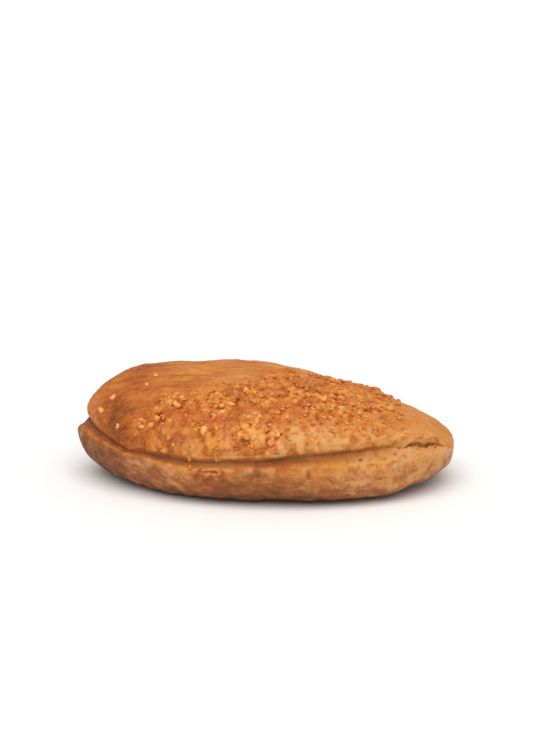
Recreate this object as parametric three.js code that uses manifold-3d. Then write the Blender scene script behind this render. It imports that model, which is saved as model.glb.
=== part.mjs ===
// A baked cheese pie: a round of dough folded over its filling, puffed into a plump oval loaf.
// Units are millimetres. +Z is up, the pie lies along X, and its pressed seam faces -Y.
// The lower sheet's edge makes a lip all along the front, with the seam's groove above it.
// Angles round the pie start at its right end and pass the back, the left end and the front.
import * as THREE from "three";
import { mergeVertices } from "three/addons/utils/BufferGeometryUtils.js";
import Module from "manifold-3d";

// Plan, seen from above: how far the widest line of the dough reaches from the origin
const RIGHT_REACH = 84.7;
const LEFT_REACH = 79.2;
const FRONT_REACH = 47.6;
const BACK_REACH = 43.8;
const BACK_FULLNESS = 0.9;
const RIGHT_WIDENING = 0.03;

// Corner of the lower sheet that sticks out under the top sheet at the left end
const BEAK_REACH = 2.4;
const BEAK_ANGLE = 3.25;
const BEAK_SPREAD = 0.16;
const BEAK_POINT = 1.5;

// Ridge of the domed top: it runs along X behind the middle and bends forward at the right
const RIDGE_HEIGHT = 47.8;
const RIDGE_SHARE = 0.7;
const RIDGE_Y = 13.6;
const RIDGE_Y_LEFT = 10.7;
const RIDGE_Y_RIGHT = -1.5;
const RIDGE_PEAK_X = -21.2;
const RIDGE_DROP_LEFT = 0.2;
const RIDGE_DROP_RIGHT = 0.5;
const RIDGE_CURVE_LEFT = 2.95;
const RIDGE_CURVE_RIGHT = 1.86;

// Front heights at seven stations from the left end to the right end: the widest line over
// the ground, then the seam over the widest line. The fold at the back has no seam
const BELLY_HEIGHTS = [20.6, 18.8, 12, 12.9, 9.9, 10.2, 14.4];
const BELLY_HEIGHT_BACK = 17.5;
const SEAM_RISES = [4.4, 0.5, 6.9, 7.6, 13.5, 14.2, 9.5];
const ROLL_HEIGHT = 5;
const FOLD_RISE = 1.5;

// Depth of the seam's groove, and how far the top sheet stands back from the lip
const GROOVE_DEPTH = 2.8;
const GROOVE_EXTRA_LEFT = 2;
const GROOVE_EXTRA_RIGHT = 1.5;
const GROOVE_LOST_RIGHT = 0.65;
const ROLL_SETBACK = 1;
const ROLL_EXTRA_LEFT = 1.5;
const ROLL_TURN = THREE.MathUtils.degToRad(55);

// The lip's shoulder: its share of the lip's height, and how sharply the lip bends there
const SHOULDER_RISE = 0.72;
const SHOULDER_PULL = 2.4;

// How far the flat underside stands back from the widest line, towards a line along its middle
const FOOT_INSET_FRONT = 17.1;
const FOOT_INSET_BACK = 11.8;
const FOOT_EXTRA_LEFT = 5.6;
const FOOT_EXTRA_RIGHT = 13.7;
const FOOT_SHARE = 0.45;
const FOOT_Y = 2;

// Roundness of the dome across the pie: a higher first power is a blunter edge
const DOME_POWERS_FRONT = [2.04, 2.08];
const DOME_POWERS_BACK = [2.16, 2.07];

// Slow unevenness of the baked top: wavelength along X, along Y, shift and height
const SWELLS = [
  [53, 90, 0.4, 0.35],
  [34, -44, 1.9, 0.22],
  [22, 37, 4.1, 0.14],
  [-17, 26, 2.7, 0.1],
];

// Torn stretch of seam near the right end
const TEAR_FROM = 5.55;
const TEAR_TO = 5.94;
const TEAR_DEPTH = 5;
const TEAR_GAPE = 1.5;
const TEAR_STATIONS = 14;

// Chipped spot on the lip below the middle: degrees, share up the lip, length, and how far the
// ball that is taken out stands off the crust, as a share of its half thickness
const CHIP = [257.4, 0.32, 9, 0.62];

// Grated cheese baked on: a band on the front that crosses the ridge towards the right
const CRUMB_COUNT = 135;
const MOST_DRAWS = 12000;
const CRUMB_LENGTH = [1.9, 4.2];
const CRUMB_THICKNESS = 0.66;
const CRUMB_SUNK = 0.28;
const CRUMB_GAP = 0.72;
const BAND_LEFT = -56;
const BAND_RIGHT = 64;
const BAND_TOP_MIDDLE = -1;
const BAND_TOP_SLOPE = 0.45;
const BAND_TOP_RISE = 14;
const BAND_RISE_FROM = -7;
const BAND_RISE_TO = 9;
const BAND_SOFT_EDGE = 12;
const LARGEST_PATCH = 0.5;

// The bare strip over the seam at the right: degrees over which it widens, and how far up
const BARE_FROM = 276;
const BARE_TO = 300;
const BARE_SHARE = 0.045;
const BARE_SOFTNESS = 1.5;
const HARDLY = 0.001;

// Where the cheese lies thickest: degrees round the pie, share of the way up the dome and
// reach. Between these clumps it lies at the loose share, and the longest crumbs, the
// clumped share of them all, keep to the clumps
const CLUMPS = [
  [240, 0.27, 5],
  [244.5, 0.25, 4],
  [254.3, 0.33, 4.5],
  [257, 0.26, 4.5],
  [259.5, 0.16, 3.5],
  [264.5, 0.02, 5],
  [268, 0.07, 4],
  [271, 0.02, 4.5],
  [276, 0.03, 4.5],
  [255.5, 0.05, 4],
  [270.5, 0.11, 4],
  [273.2, 0.37, 4],
  [284, 0.47, 5],
  [289.5, 0.29, 4.5],
  [293.8, 0.5, 5],
  [299.5, 0.35, 4.5],
  [306, 0.49, 4],
  [225, 0.07, 3.5],
  [231, 0.06, 4],
  [238, 0.13, 3.5],
  [299, 0.62, 4],
  [265.5, 0.52, 3.5],
];
const LOOSE_SHARE = 0.42;
const CLUMPED_SHARE = 0.5;
const CLUMPED_POWER = 3;

// Single crumbs on the plain crust at the left: degrees, share of the way up, and length
const STRAYS = [
  [208.6, 0.06, 3.3],
  [210.8, 0.22, 3],
  [224.6, 0.46, 2],
  [225.2, 0.61, 2.2],
  [221, 0.02, 2],
];

// Melted crumbs that hang over the seam: degrees, share up the rolled edge, and length
const HANGING = [
  [250.3, 0.35, 3.6],
  [256.5, 0.55, 2.4],
  [259, 0.62, 4.4],
  [260.2, 0.3, 2.6],
];

// Steps of the surface
const COLUMNS = 104;
const BELLY_STEPS = 5;
const LIP_STEPS = 5;
const ROLL_STEPS = 3;
const DOME_STEPS = 10;
const WELD = 0.001;

// Repeatable draw between 0 and 1 for one item and one use of it
function draw(item, use) {
  const wave = Math.sin(item * 12.9898 + use * 78.233) * 43758.5453;
  return wave - Math.floor(wave);
}

// 0 before one value and 1 after the other, with a soft step between
function fade(from, to, value) {
  const share = THREE.MathUtils.clamp((value - from) / (to - from), 0, 1);
  return share * share * (3 - 2 * share);
}

// Soft steps through heights spaced evenly from the left end to the right end
function alongPie(heights, side) {
  const place = ((side + 1) / 2) * (heights.length - 1);
  const step = Math.min(Math.floor(place), heights.length - 2);
  return THREE.MathUtils.lerp(heights[step], heights[step + 1], fade(0, 1, place - step));
}

// The widest line of the dough: two half ellipses
function planPoint(angle) {
  const side = Math.cos(angle);
  const depth = Math.sin(angle);
  const fullness = depth > 0 ? BACK_FULLNESS : 1;
  const halfDepth = Math.abs(depth) ** fullness * (depth > 0 ? BACK_REACH : FRONT_REACH);
  const x = side * (side > 0 ? RIGHT_REACH : LEFT_REACH);
  return new THREE.Vector2(x, Math.sign(depth) * halfDepth * (1 + RIGHT_WIDENING * side));
}

// The point of the ridge that a place on the widest line looks towards
function ridgePoint(edgeX) {
  const share = edgeX / (edgeX > 0 ? RIGHT_REACH : LEFT_REACH);
  const endY = share > 0 ? RIDGE_Y_RIGHT : RIDGE_Y_LEFT;
  const ridgeY = THREE.MathUtils.lerp(RIDGE_Y, endY, fade(0, 1, Math.abs(share)));
  return new THREE.Vector2(edgeX * RIDGE_SHARE, ridgeY);
}

function ridgeHeight(x) {
  const toRight = Math.max(x - RIDGE_PEAK_X, 0) / (RIGHT_REACH - RIDGE_PEAK_X);
  const toLeft = Math.max(RIDGE_PEAK_X - x, 0) / (LEFT_REACH + RIDGE_PEAK_X);
  const dropLeft = RIDGE_DROP_LEFT * toLeft ** RIDGE_CURVE_LEFT;
  const dropRight = RIDGE_DROP_RIGHT * toRight ** RIDGE_CURVE_RIGHT;
  return RIDGE_HEIGHT * (1 - dropLeft - dropRight);
}

function swell(x, y) {
  return SWELLS.reduce((sum, [alongX, alongY, shift, height]) => {
    const turn = 2 * Math.PI * (x / alongX + y / alongY) + shift;
    return sum + height * Math.sin(turn);
  }, 0);
}

// Everything that one upright section through the crust needs, at an angle round the pie
function sectionAt(angle) {
  const side = Math.cos(angle);
  const depth = Math.sin(angle);
  const edge = planPoint(angle);
  const inward = ridgePoint(edge.x).sub(edge);
  const reach = inward.length();
  const footward = new THREE.Vector2(edge.x * FOOT_SHARE, FOOT_Y).sub(edge);
  const footReach = footward.length();
  inward.normalize();
  footward.normalize();
  const seamLeft = fade(0.75, 0.25, depth);
  const seamRight = fade(-0.02, -0.6, depth);
  const seam = THREE.MathUtils.lerp(seamLeft, seamRight, fade(-0.4, 0.4, side));
  const front = fade(0.3, -0.5, depth);
  const leftEnd = fade(-0.6, -1, side);
  const rightEnd = fade(0.6, 1, side);
  const foot = THREE.MathUtils.lerp(FOOT_INSET_BACK, FOOT_INSET_FRONT, front);
  const grooveExtra = GROOVE_EXTRA_LEFT * fade(-0.5, -1, side) + GROOVE_EXTRA_RIGHT * fade(0.1, 0.6, side);
  const grooveKept = 1 - GROOVE_LOST_RIGHT * fade(0.66, 0.86, side);
  const frontBelly = alongPie(BELLY_HEIGHTS, side);
  const belly = THREE.MathUtils.lerp(BELLY_HEIGHT_BACK, frontBelly, fade(0.7, -0.2, depth));
  const seamHeight = belly + THREE.MathUtils.lerp(FOLD_RISE, alongPie(SEAM_RISES, side), seam);
  return {
    edge,
    inward,
    reach,
    footward,
    footReach,
    belly,
    seamHeight,
    rollHeight: seamHeight + THREE.MathUtils.lerp(FOLD_RISE, ROLL_HEIGHT, seam),
    foot: foot + FOOT_EXTRA_LEFT * leftEnd + FOOT_EXTRA_RIGHT * rightEnd,
    groove: (GROOVE_DEPTH + grooveExtra) * grooveKept * seam,
    setback: (ROLL_SETBACK + ROLL_EXTRA_LEFT * leftEnd) * seam,
    beak: BEAK_REACH * Math.exp(-(((angle - BEAK_ANGLE) / BEAK_SPREAD) ** 2)),
    powers: [0, 1].map((k) => THREE.MathUtils.lerp(DOME_POWERS_BACK[k], DOME_POWERS_FRONT[k], front)),
  };
}

// A point at a height, inset from the widest line towards the ridge
function inset(section, distance, height) {
  const place = section.edge.clone().addScaledVector(section.inward, distance);
  return new THREE.Vector3(place.x, place.y, height);
}

// A point at a height, inset from the widest line towards the middle of the underside
function insetBelow(section, distance, height) {
  const place = section.edge.clone().addScaledVector(section.footward, distance);
  return new THREE.Vector3(place.x, place.y, height);
}

// The dome, from its lower edge (0) to the ridge (1)
function domePoint(section, share) {
  const distance = section.setback + (section.reach - section.setback) * share;
  const [outer, inner] = section.powers;
  const rise = (1 - (1 - share) ** outer) ** (1 / inner);
  const point = inset(section, distance, section.rollHeight);
  point.z += (ridgeHeight(point.x) + swell(point.x, point.y) - section.rollHeight) * rise;
  return point;
}

// The belly below the widest line, from the flat foot (0) to that line (1)
function bellyPoint(section, share) {
  const turn = (share - 1) * (Math.PI / 2);
  const height = section.belly * (1 - Math.abs(Math.sin(turn)));
  const point = insetBelow(section, section.foot * (1 - Math.cos(turn)), height);
  point.x -= section.beak * share ** 2;
  return point;
}

// The lip, from the widest line (0) up to its shoulder and in to the bottom of the groove (1):
// a curve that is pulled towards the shoulder
function lipPoint(section, share) {
  const pull = 2 * SHOULDER_PULL * share * (1 - share);
  const total = (1 - share) ** 2 + pull + share ** 2;
  const inwards = share ** 2 / total;
  const upwards = (pull * SHOULDER_RISE + share ** 2) / total;
  const height = section.belly + (section.seamHeight - section.belly) * upwards;
  const point = inset(section, section.groove * inwards, height);
  point.x -= section.beak * (1 - share) ** BEAK_POINT;
  return point;
}

// The rolled edge of the top sheet, from the groove (0) out to the dome (1)
function rollPoint(section, share) {
  const turn = (1 - share) * ROLL_TURN;
  const inwards = (1 - Math.cos(turn)) / (1 - Math.cos(ROLL_TURN));
  const downwards = Math.sin(turn) / Math.sin(ROLL_TURN);
  const height = section.rollHeight - (section.rollHeight - section.seamHeight) * downwards;
  return inset(section, section.setback + (section.groove - section.setback) * inwards, height);
}

// One column of the crust, from the middle of the underside up to the ridge
function crustColumn(angle) {
  const section = sectionAt(angle);
  const column = [insetBelow(section, section.footReach, 0)];
  for (let step = 0; step <= BELLY_STEPS; step += 1) {
    column.push(bellyPoint(section, step / BELLY_STEPS));
  }
  for (let step = 1; step <= LIP_STEPS; step += 1) {
    column.push(lipPoint(section, step / LIP_STEPS));
  }
  for (let step = 1; step <= ROLL_STEPS; step += 1) {
    column.push(rollPoint(section, step / ROLL_STEPS));
  }
  for (let step = 1; step <= DOME_STEPS; step += 1) {
    column.push(domePoint(section, 1 - Math.cos((step / DOME_STEPS) * (Math.PI / 2))));
  }
  return column;
}

// Two triangles for each cell of a grid of columns; a closed grid joins its last column to its first
function gridTriangles(columns, rows, closed) {
  const triangles = [];
  const last = closed ? columns : columns - 1;
  for (let column = 0; column < last; column += 1) {
    const next = (column + 1) % columns;
    for (let row = 0; row < rows - 1; row += 1) {
      const a = column * rows + row;
      const b = next * rows + row;
      triangles.push(a, b, b + 1, a, b + 1, a + 1);
    }
  }
  return triangles;
}

// A geometry with shared corners and without the cells that have no area
function solidGeometry(points, triangles) {
  const raw = new THREE.BufferGeometry().setFromPoints(points);
  raw.setIndex(triangles);
  const joined = mergeVertices(raw, WELD);
  const corners = joined.getIndex().array;
  const kept = [];
  for (let start = 0; start < corners.length; start += 3) {
    const [a, b, c] = corners.slice(start, start + 3);
    if (a !== b && b !== c && c !== a) {
      kept.push(a, b, c);
    }
  }
  joined.setIndex(kept);
  return joined;
}

function crustGeometry() {
  const points = [];
  for (let column = 0; column < COLUMNS; column += 1) {
    points.push(...crustColumn((column / COLUMNS) * 2 * Math.PI));
  }
  return solidGeometry(points, gridTriangles(COLUMNS, points.length / COLUMNS, true));
}

// The gap where the seam has torn: a thin wedge with an uneven mouth, pointed inwards
function tearGeometry() {
  const points = [];
  for (let station = 0; station <= TEAR_STATIONS; station += 1) {
    const share = station / TEAR_STATIONS;
    const section = sectionAt(THREE.MathUtils.lerp(TEAR_FROM, TEAR_TO, share));
    const open = Math.sin(share * Math.PI) ** 0.7;
    const over = TEAR_GAPE * (0.15 + open * (0.5 + draw(station, 1)));
    const under = TEAR_GAPE * (0.15 + open * (0.3 + draw(station, 2)));
    const depth = section.groove + TEAR_DEPTH * (0.2 + open * (0.5 + 0.5 * draw(station, 3)));
    points.push(inset(section, -section.groove, section.seamHeight - under * 1.6));
    points.push(inset(section, depth, section.seamHeight));
    points.push(inset(section, -section.groove, section.seamHeight + over * 1.6));
  }
  const triangles = [];
  for (let station = 0; station < TEAR_STATIONS; station += 1) {
    for (let corner = 0; corner < 3; corner += 1) {
      const a = station * 3 + corner;
      const b = station * 3 + ((corner + 1) % 3);
      triangles.push(a, b + 3, a + 3, a, b, b + 3);
    }
  }
  const end = TEAR_STATIONS * 3;
  triangles.push(0, 2, 1, end, end + 1, end + 2);
  return solidGeometry(points, triangles);
}

// Place on the top crust, the direction straight out of it, and the size of the patch there
function crustFrame(degrees, share, pointAt = domePoint) {
  const nudge = 0.01;
  const angle = THREE.MathUtils.degToRad(degrees);
  const here = pointAt(sectionAt(angle), share);
  const round = pointAt(sectionAt(angle + nudge), share).sub(here);
  const up = pointAt(sectionAt(angle), share + nudge).sub(here);
  const outward = round.cross(up);
  return { here, patch: outward.length(), outward: outward.normalize() };
}

const clumps = CLUMPS.map(([degrees, share, reach]) => {
  return { centre: crustFrame(degrees, share).here, reach };
});

// How thickly a place on the top was sprinkled with cheese, from 0 to 1
function sprinkled(place, degrees, share) {
  const rise = BAND_TOP_RISE * fade(BAND_RISE_FROM, BAND_RISE_TO, place.x);
  const top = BAND_TOP_MIDDLE + BAND_TOP_SLOPE * place.x + rise;
  const upper = fade(0, BAND_SOFT_EDGE, top - place.y);
  const left = fade(0, BAND_SOFT_EDGE, place.x - BAND_LEFT);
  const right = fade(0, BAND_SOFT_EDGE, BAND_RIGHT - place.x);
  const near = clumps.map(({ centre, reach }) => {
    return Math.exp(-((centre.distanceTo(place) / reach) ** 2));
  });
  const bare = BARE_SHARE * fade(BARE_FROM, BARE_TO, degrees);
  const overBare = fade(0, BARE_SOFTNESS, share / (bare + HARDLY));
  return upper * left * right * overBare * THREE.MathUtils.lerp(LOOSE_SHARE, 1, Math.max(...near));
}

// A crumb is a dented ball, longer than it is thick, part sunk in the crust
function crumbGeometry({ item, frame, length, turn, sunk }) {
  const ball = new THREE.IcosahedronGeometry(1, 0).deleteAttribute("normal").deleteAttribute("uv");
  const crumb = mergeVertices(ball);
  const corners = crumb.getAttribute("position");
  const corner = new THREE.Vector3();
  for (let k = 0; k < corners.count; k += 1) {
    corner.fromBufferAttribute(corners, k).multiplyScalar(0.86 + 0.28 * draw(item * 31 + k, 4));
    corners.setXYZ(k, corner.x, corner.y, corner.z);
  }
  const half = length / 2;
  const breadth = half * (0.6 + 0.35 * draw(item, 5));
  const thickness = half * CRUMB_THICKNESS;
  crumb.scale(half, breadth, thickness);
  crumb.rotateZ(turn);
  const lean = new THREE.Quaternion().setFromUnitVectors(new THREE.Vector3(0, 0, 1), frame.outward);
  crumb.applyQuaternion(lean);
  const centre = frame.here.clone().addScaledVector(frame.outward, thickness * sunk);
  crumb.translate(centre.x, centre.y, centre.z);
  return crumb;
}

function makeCrumb(item, frame, length, turn = draw(item, 6) * Math.PI) {
  return { item, frame, length, turn, sunk: CRUMB_SUNK };
}

// Crumbs are drawn until enough lie in the band with room round them, the longest first
function crumbGeometries() {
  const [shortest, longest] = CRUMB_LENGTH;
  const placed = STRAYS.map(([degrees, share, length], k) => {
    return makeCrumb(-1 - k, crustFrame(degrees, share), length);
  });
  for (let item = 1; placed.length < CRUMB_COUNT && item < MOST_DRAWS; item += 1) {
    const degrees = 360 * draw(item, 7);
    const share = 0.99 * draw(item, 8);
    const frame = crustFrame(degrees, share);
    const length = THREE.MathUtils.lerp(longest, shortest, (placed.length / CRUMB_COUNT) ** 0.6);
    const power = placed.length < CRUMB_COUNT * CLUMPED_SHARE ? CLUMPED_POWER : 1;
    const wanted = (sprinkled(frame.here, degrees, share) ** power * frame.patch) / LARGEST_PATCH;
    const clear = placed.every((other) => {
      return other.frame.here.distanceTo(frame.here) > ((other.length + length) / 2) * CRUMB_GAP;
    });
    if (draw(item, 9) < wanted && clear) {
      placed.push(makeCrumb(item, frame, length));
    }
  }
  const hanging = HANGING.map(([degrees, share, length], k) => {
    return makeCrumb(-20 - k, crustFrame(degrees, share, rollPoint), length, Math.PI / 2);
  });
  return [...placed, ...hanging].map(crumbGeometry);
}

function chipGeometry() {
  const [degrees, share, length, sunk] = CHIP;
  return crumbGeometry({ item: 0, frame: crustFrame(degrees, share, lipPoint), length, turn: 0, sunk });
}

const wasm = await Module();
wasm.setup();

function toSolid(geometry) {
  const vertProperties = new Float32Array(geometry.getAttribute("position").array);
  const triVerts = new Uint32Array(geometry.getIndex().array);
  return new wasm.Manifold(new wasm.Mesh({ numProp: 3, vertProperties, triVerts }));
}

function toGeometry(solid) {
  const { vertProperties, triVerts } = solid.getMesh();
  const points = [];
  for (let start = 0; start < vertProperties.length; start += 3) {
    points.push(new THREE.Vector3().fromArray(vertProperties, start));
  }
  return solidGeometry(points, Array.from(triVerts));
}

// The whole pie: the crust, less the torn gap and the chip, with the crumbs baked on
function pieMesh() {
  let solid = toSolid(crustGeometry());
  solid = solid.subtract(toSolid(tearGeometry()));
  solid = solid.subtract(toSolid(chipGeometry()));
  for (const crumb of crumbGeometries()) {
    solid = solid.add(toSolid(crumb));
  }
  const geometry = toGeometry(solid);
  const bakedCrust = new THREE.MeshStandardMaterial({ color: "#c67c42", roughness: 0.55, metalness: 0 });
  const mesh = new THREE.Mesh(geometry, bakedCrust);
  mesh.name = "cheese_pie";
  geometry.computeBoundingBox();
  const middle = geometry.boundingBox.getCenter(new THREE.Vector3());
  mesh.position.set(-middle.x, -middle.y, -geometry.boundingBox.min.z);
  return mesh;
}

const group = new THREE.Group();
group.add(pieMesh());
export default group;
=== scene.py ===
# A whole baked cheese pie on a pale floor. The crust, the grated cheese baked on it and the
# torn leaves of pastry at the right end are meshes worked out here over the pie's own form.
import math

import bmesh
import bpy
import numpy as np
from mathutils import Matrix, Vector


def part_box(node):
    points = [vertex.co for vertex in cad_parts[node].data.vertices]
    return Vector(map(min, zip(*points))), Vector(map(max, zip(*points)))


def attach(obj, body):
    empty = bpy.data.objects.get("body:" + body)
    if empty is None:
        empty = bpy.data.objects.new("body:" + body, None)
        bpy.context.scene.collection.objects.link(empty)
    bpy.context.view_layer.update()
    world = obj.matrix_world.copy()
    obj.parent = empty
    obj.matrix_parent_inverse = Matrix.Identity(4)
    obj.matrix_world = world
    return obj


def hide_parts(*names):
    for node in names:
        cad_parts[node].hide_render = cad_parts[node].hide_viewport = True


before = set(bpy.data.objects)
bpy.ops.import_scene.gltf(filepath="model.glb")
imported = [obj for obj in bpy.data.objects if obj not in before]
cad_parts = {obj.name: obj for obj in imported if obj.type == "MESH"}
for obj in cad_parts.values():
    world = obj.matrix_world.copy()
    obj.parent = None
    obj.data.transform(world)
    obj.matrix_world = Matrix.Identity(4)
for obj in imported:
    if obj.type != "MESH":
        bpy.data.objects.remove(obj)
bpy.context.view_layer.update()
print("stage: frame loaded")

mm = 0.001

# The pie's form, in millimetres. Angles round the pie start at its right end and pass the back, the left
# end and the front, so the middle of the front is at three quarters of a turn.
form = {
    "rightReach": 84.7, "leftReach": 79.2, "frontReach": 47.6, "backReach": 43.8,
    "backFullness": 0.9, "rightWidening": 0.03,
    "beakReach": 2.4, "beakAngle": 3.25, "beakSpread": 0.16,
    "ridgeHeight": 47.8, "ridgeShare": 0.7, "ridgeY": 13.6, "ridgeYLeft": 10.7, "ridgeYRight": -1.5,
    "ridgePeakX": -21.2, "ridgeDropLeft": 0.2, "ridgeDropRight": 0.5,
    "ridgeCurveLeft": 2.95, "ridgeCurveRight": 1.86,
    "bellyHeights": [20.6, 18.8, 12, 12.9, 9.9, 10.2, 14.4], "bellyHeightBack": 17.5,
    "seamRises": [4.4, 0.5, 6.9, 7.6, 13.5, 14.2, 9.5], "rollHeight": 5, "foldRise": 1.5,
    "grooveDepth": 2.8, "grooveExtraLeft": 2.0, "grooveExtraRight": 1.5, "grooveLostRight": 0.65,
    "rollSetback": 1, "rollExtraLeft": 1.5, "rollTurn": math.radians(55),
    "shoulderPull": 2.4, "shoulderRise": 0.72,
    "footInsetFront": 17.1, "footInsetBack": 11.8, "footExtraLeft": 5.6, "footExtraRight": 13.7,
    "footShare": 0.45, "footY": 2,
    "domePowersFront": (2.04, 2.08), "domePowersBack": (2.16, 2.07),
    # where each starts and is full: along the pie from -1 at the left end to 1 at the right, and
    # for frontSpan, bellySpan, seamLeft and seamRight across it from -1 at the front to 1
    "leftEndSpan": (-0.6, -1), "rightEndSpan": (0.6, 1), "frontSpan": (0.3, -0.5), "bellySpan": (0.7, -0.2),
    "seamLeft": (0.75, 0.25), "seamRight": (-0.02, -0.6), "seamTurn": (-0.4, 0.4),
    "grooveLeftSpan": (-0.5, -1), "grooveRightSpan": (0.1, 0.6), "grooveLostSpan": (0.66, 0.86),
    # slow unevenness of the baked top: wavelength along X, along Y, shift and height
    "swells": [(53, 90, 0.4, 0.35), (34, -44, 1.9, 0.22), (22, 37, 4.1, 0.14), (-17, 26, 2.7, 0.1)],
}


def fade(start, end, value):
    # 0 before start and 1 after end, with a soft step between: 3t² - 2t³
    t = np.clip((value - start) / (end - start), 0, 1)
    return t * t * (3 - 2 * t)


def between(value, start, full, fullEnd, end):
    # 0 up to start, 1 from full to fullEnd and 0 after end, with soft steps
    return fade(start, full, value) * fade(end, fullEnd, value)


def hill(value, middle, width):
    # e to the power of minus (distance from the middle / width)²
    return np.exp(-(((value - middle) / width) ** 2))


def mix(a, b, t):
    return a + (b - a) * t


def lengthOf(vectors):
    return np.linalg.norm(vectors, axis=-1)


def unit(vectors):
    return vectors / lengthOf(vectors)[..., None]


def alongPie(heights, side):
    # soft steps through heights spaced evenly from the left end to the right end
    values = np.array(heights, float)
    place = (side + 1) / 2 * (len(values) - 1)
    step = np.minimum(np.floor(place).astype(int), len(values) - 2)
    return mix(values[step], values[step + 1], fade(0, 1, place - step))


def sectionAt(angle):
    # the widest line is two half ellipses; each upright section runs from it towards the ridge
    side, depth = np.cos(angle), np.sin(angle)
    reachX = np.where(side > 0, form["rightReach"], form["leftReach"])
    reachY = np.where(depth > 0, form["backReach"], form["frontReach"])
    fullness = np.where(depth > 0, form["backFullness"], 1)
    edgeX = side * reachX
    edgeY = np.sign(depth) * np.abs(depth) ** fullness * reachY * (1 + form["rightWidening"] * side)
    endY = np.where(side > 0, form["ridgeYRight"], form["ridgeYLeft"])
    ridgeX = edgeX * form["ridgeShare"]
    ridgeY = mix(form["ridgeY"], endY, fade(0, 1, np.abs(side)))
    reach = np.hypot(ridgeX - edgeX, ridgeY - edgeY)
    footX, footY = edgeX * form["footShare"] - edgeX, form["footY"] - edgeY
    footReach = np.hypot(footX, footY)
    front = fade(*form["frontSpan"], depth)
    leftEnd, rightEnd = fade(*form["leftEndSpan"], side), fade(*form["rightEndSpan"], side)
    seam = mix(fade(*form["seamLeft"], depth), fade(*form["seamRight"], depth), fade(*form["seamTurn"], side))
    extra = form["grooveExtraLeft"] * fade(*form["grooveLeftSpan"], side)
    extra = extra + form["grooveExtraRight"] * fade(*form["grooveRightSpan"], side)
    lost = form["grooveLostRight"] * fade(*form["grooveLostSpan"], side)
    bellyFront = alongPie(form["bellyHeights"], side)
    belly = mix(form["bellyHeightBack"], bellyFront, fade(*form["bellySpan"], depth))
    seamHeight = belly + mix(form["foldRise"], alongPie(form["seamRises"], side), seam)
    footInset = mix(form["footInsetBack"], form["footInsetFront"], front)
    return {
        "edgeX": edgeX, "edgeY": edgeY,
        "inX": (ridgeX - edgeX) / reach, "inY": (ridgeY - edgeY) / reach, "reach": reach,
        "footX": footX / footReach, "footY": footY / footReach, "footReach": footReach,
        "belly": belly, "seamHeight": seamHeight, "seam": seam, "front": front,
        "rollHeight": seamHeight + mix(form["foldRise"], form["rollHeight"], seam),
        "foot": footInset + form["footExtraLeft"] * leftEnd + form["footExtraRight"] * rightEnd,
        "groove": (form["grooveDepth"] + extra) * seam * (1 - lost),
        "setback": (form["rollSetback"] + form["rollExtraLeft"] * leftEnd) * seam,
        "beak": form["beakReach"] * hill(angle, form["beakAngle"], form["beakSpread"]),
        "outer": mix(form["domePowersBack"][0], form["domePowersFront"][0], front),
        "inner": mix(form["domePowersBack"][1], form["domePowersFront"][1], front),
    }


def ridgeHeight(x):
    toRight = np.maximum(x - form["ridgePeakX"], 0) / (form["rightReach"] - form["ridgePeakX"])
    toLeft = np.maximum(form["ridgePeakX"] - x, 0) / (form["leftReach"] + form["ridgePeakX"])
    dropLeft = form["ridgeDropLeft"] * toLeft ** form["ridgeCurveLeft"]
    dropRight = form["ridgeDropRight"] * toRight ** form["ridgeCurveRight"]
    return form["ridgeHeight"] * (1 - (dropLeft + dropRight))


def swell(x, y):
    # a sum of four slow sine waves over the plan
    total = 0 * x
    for alongX, alongY, shift, height in form["swells"]:
        total = total + height * np.sin(2 * np.pi * (x / alongX + y / alongY) + shift)
    return total


def topHeight(x, y):
    return ridgeHeight(x) + swell(x, y)


def inset(s, distance, height):
    x, y = s["edgeX"] + s["inX"] * distance, s["edgeY"] + s["inY"] * distance
    return np.stack([x, y, height + 0 * distance], -1)


def domePoint(s, share):
    # rise = (1 - (1 - share)^outer)^(1 / inner), from the roll's top up to the ridge
    rise = (1 - (1 - share) ** s["outer"]) ** (1 / s["inner"])
    point = inset(s, s["setback"] + (s["reach"] - s["setback"]) * share, s["rollHeight"])
    point[..., 2] += (topHeight(point[..., 0], point[..., 1]) - s["rollHeight"]) * rise
    return point


def flankPoint(s, distance, height):
    # a place on the underside or the belly, by its distance in from the widest line
    return np.stack([s["edgeX"] + s["footX"] * distance, s["edgeY"] + s["footY"] * distance, height], -1)


def bellyPoint(s, share):
    # a quarter ellipse from the flat foot (0) out to the widest line (1)
    turn = (share - 1) * np.pi / 2
    point = flankPoint(s, s["foot"] * (1 - np.cos(turn)), s["belly"] * (1 - np.abs(np.sin(turn))))
    point[..., 0] -= s["beak"] * share**2
    return point


def lipPoint(s, share):
    # from the widest line (0) up to a soft shoulder and in to the bottom of the groove (1):
    # three points, here (0, 0), the shoulder and (1, 1), weighed by (1-t)^2, 2wt(1-t) and t^2
    pull = 2 * form["shoulderPull"] * share * (1 - share)
    total = (1 - share) ** 2 + pull + share**2
    inwards = share**2 / total
    upwards = (pull * form["shoulderRise"] + share**2) / total
    point = inset(s, s["groove"] * inwards, s["belly"] + (s["seamHeight"] - s["belly"]) * upwards)
    point[..., 0] -= s["beak"] * (1 - share) ** 1.5
    return point


def rollPoint(s, share):
    # the top sheet's rolled edge, from the groove (0) out to the dome (1)
    turn = (1 - share) * form["rollTurn"]
    inwards = (1 - np.cos(turn)) / (1 - np.cos(form["rollTurn"]))
    downwards = np.sin(turn) / np.sin(form["rollTurn"])
    height = s["rollHeight"] - (s["rollHeight"] - s["seamHeight"]) * downwards
    return inset(s, s["setback"] + (s["groove"] - s["setback"]) * inwards, height)


def draw(item, use):
    # a repeatable value between 0 and 1 for one item and one use of it
    wave = np.sin(np.asarray(item, float) * 12.9898 + use * 78.233) * 43758.5453
    return wave - np.floor(wave)


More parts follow.
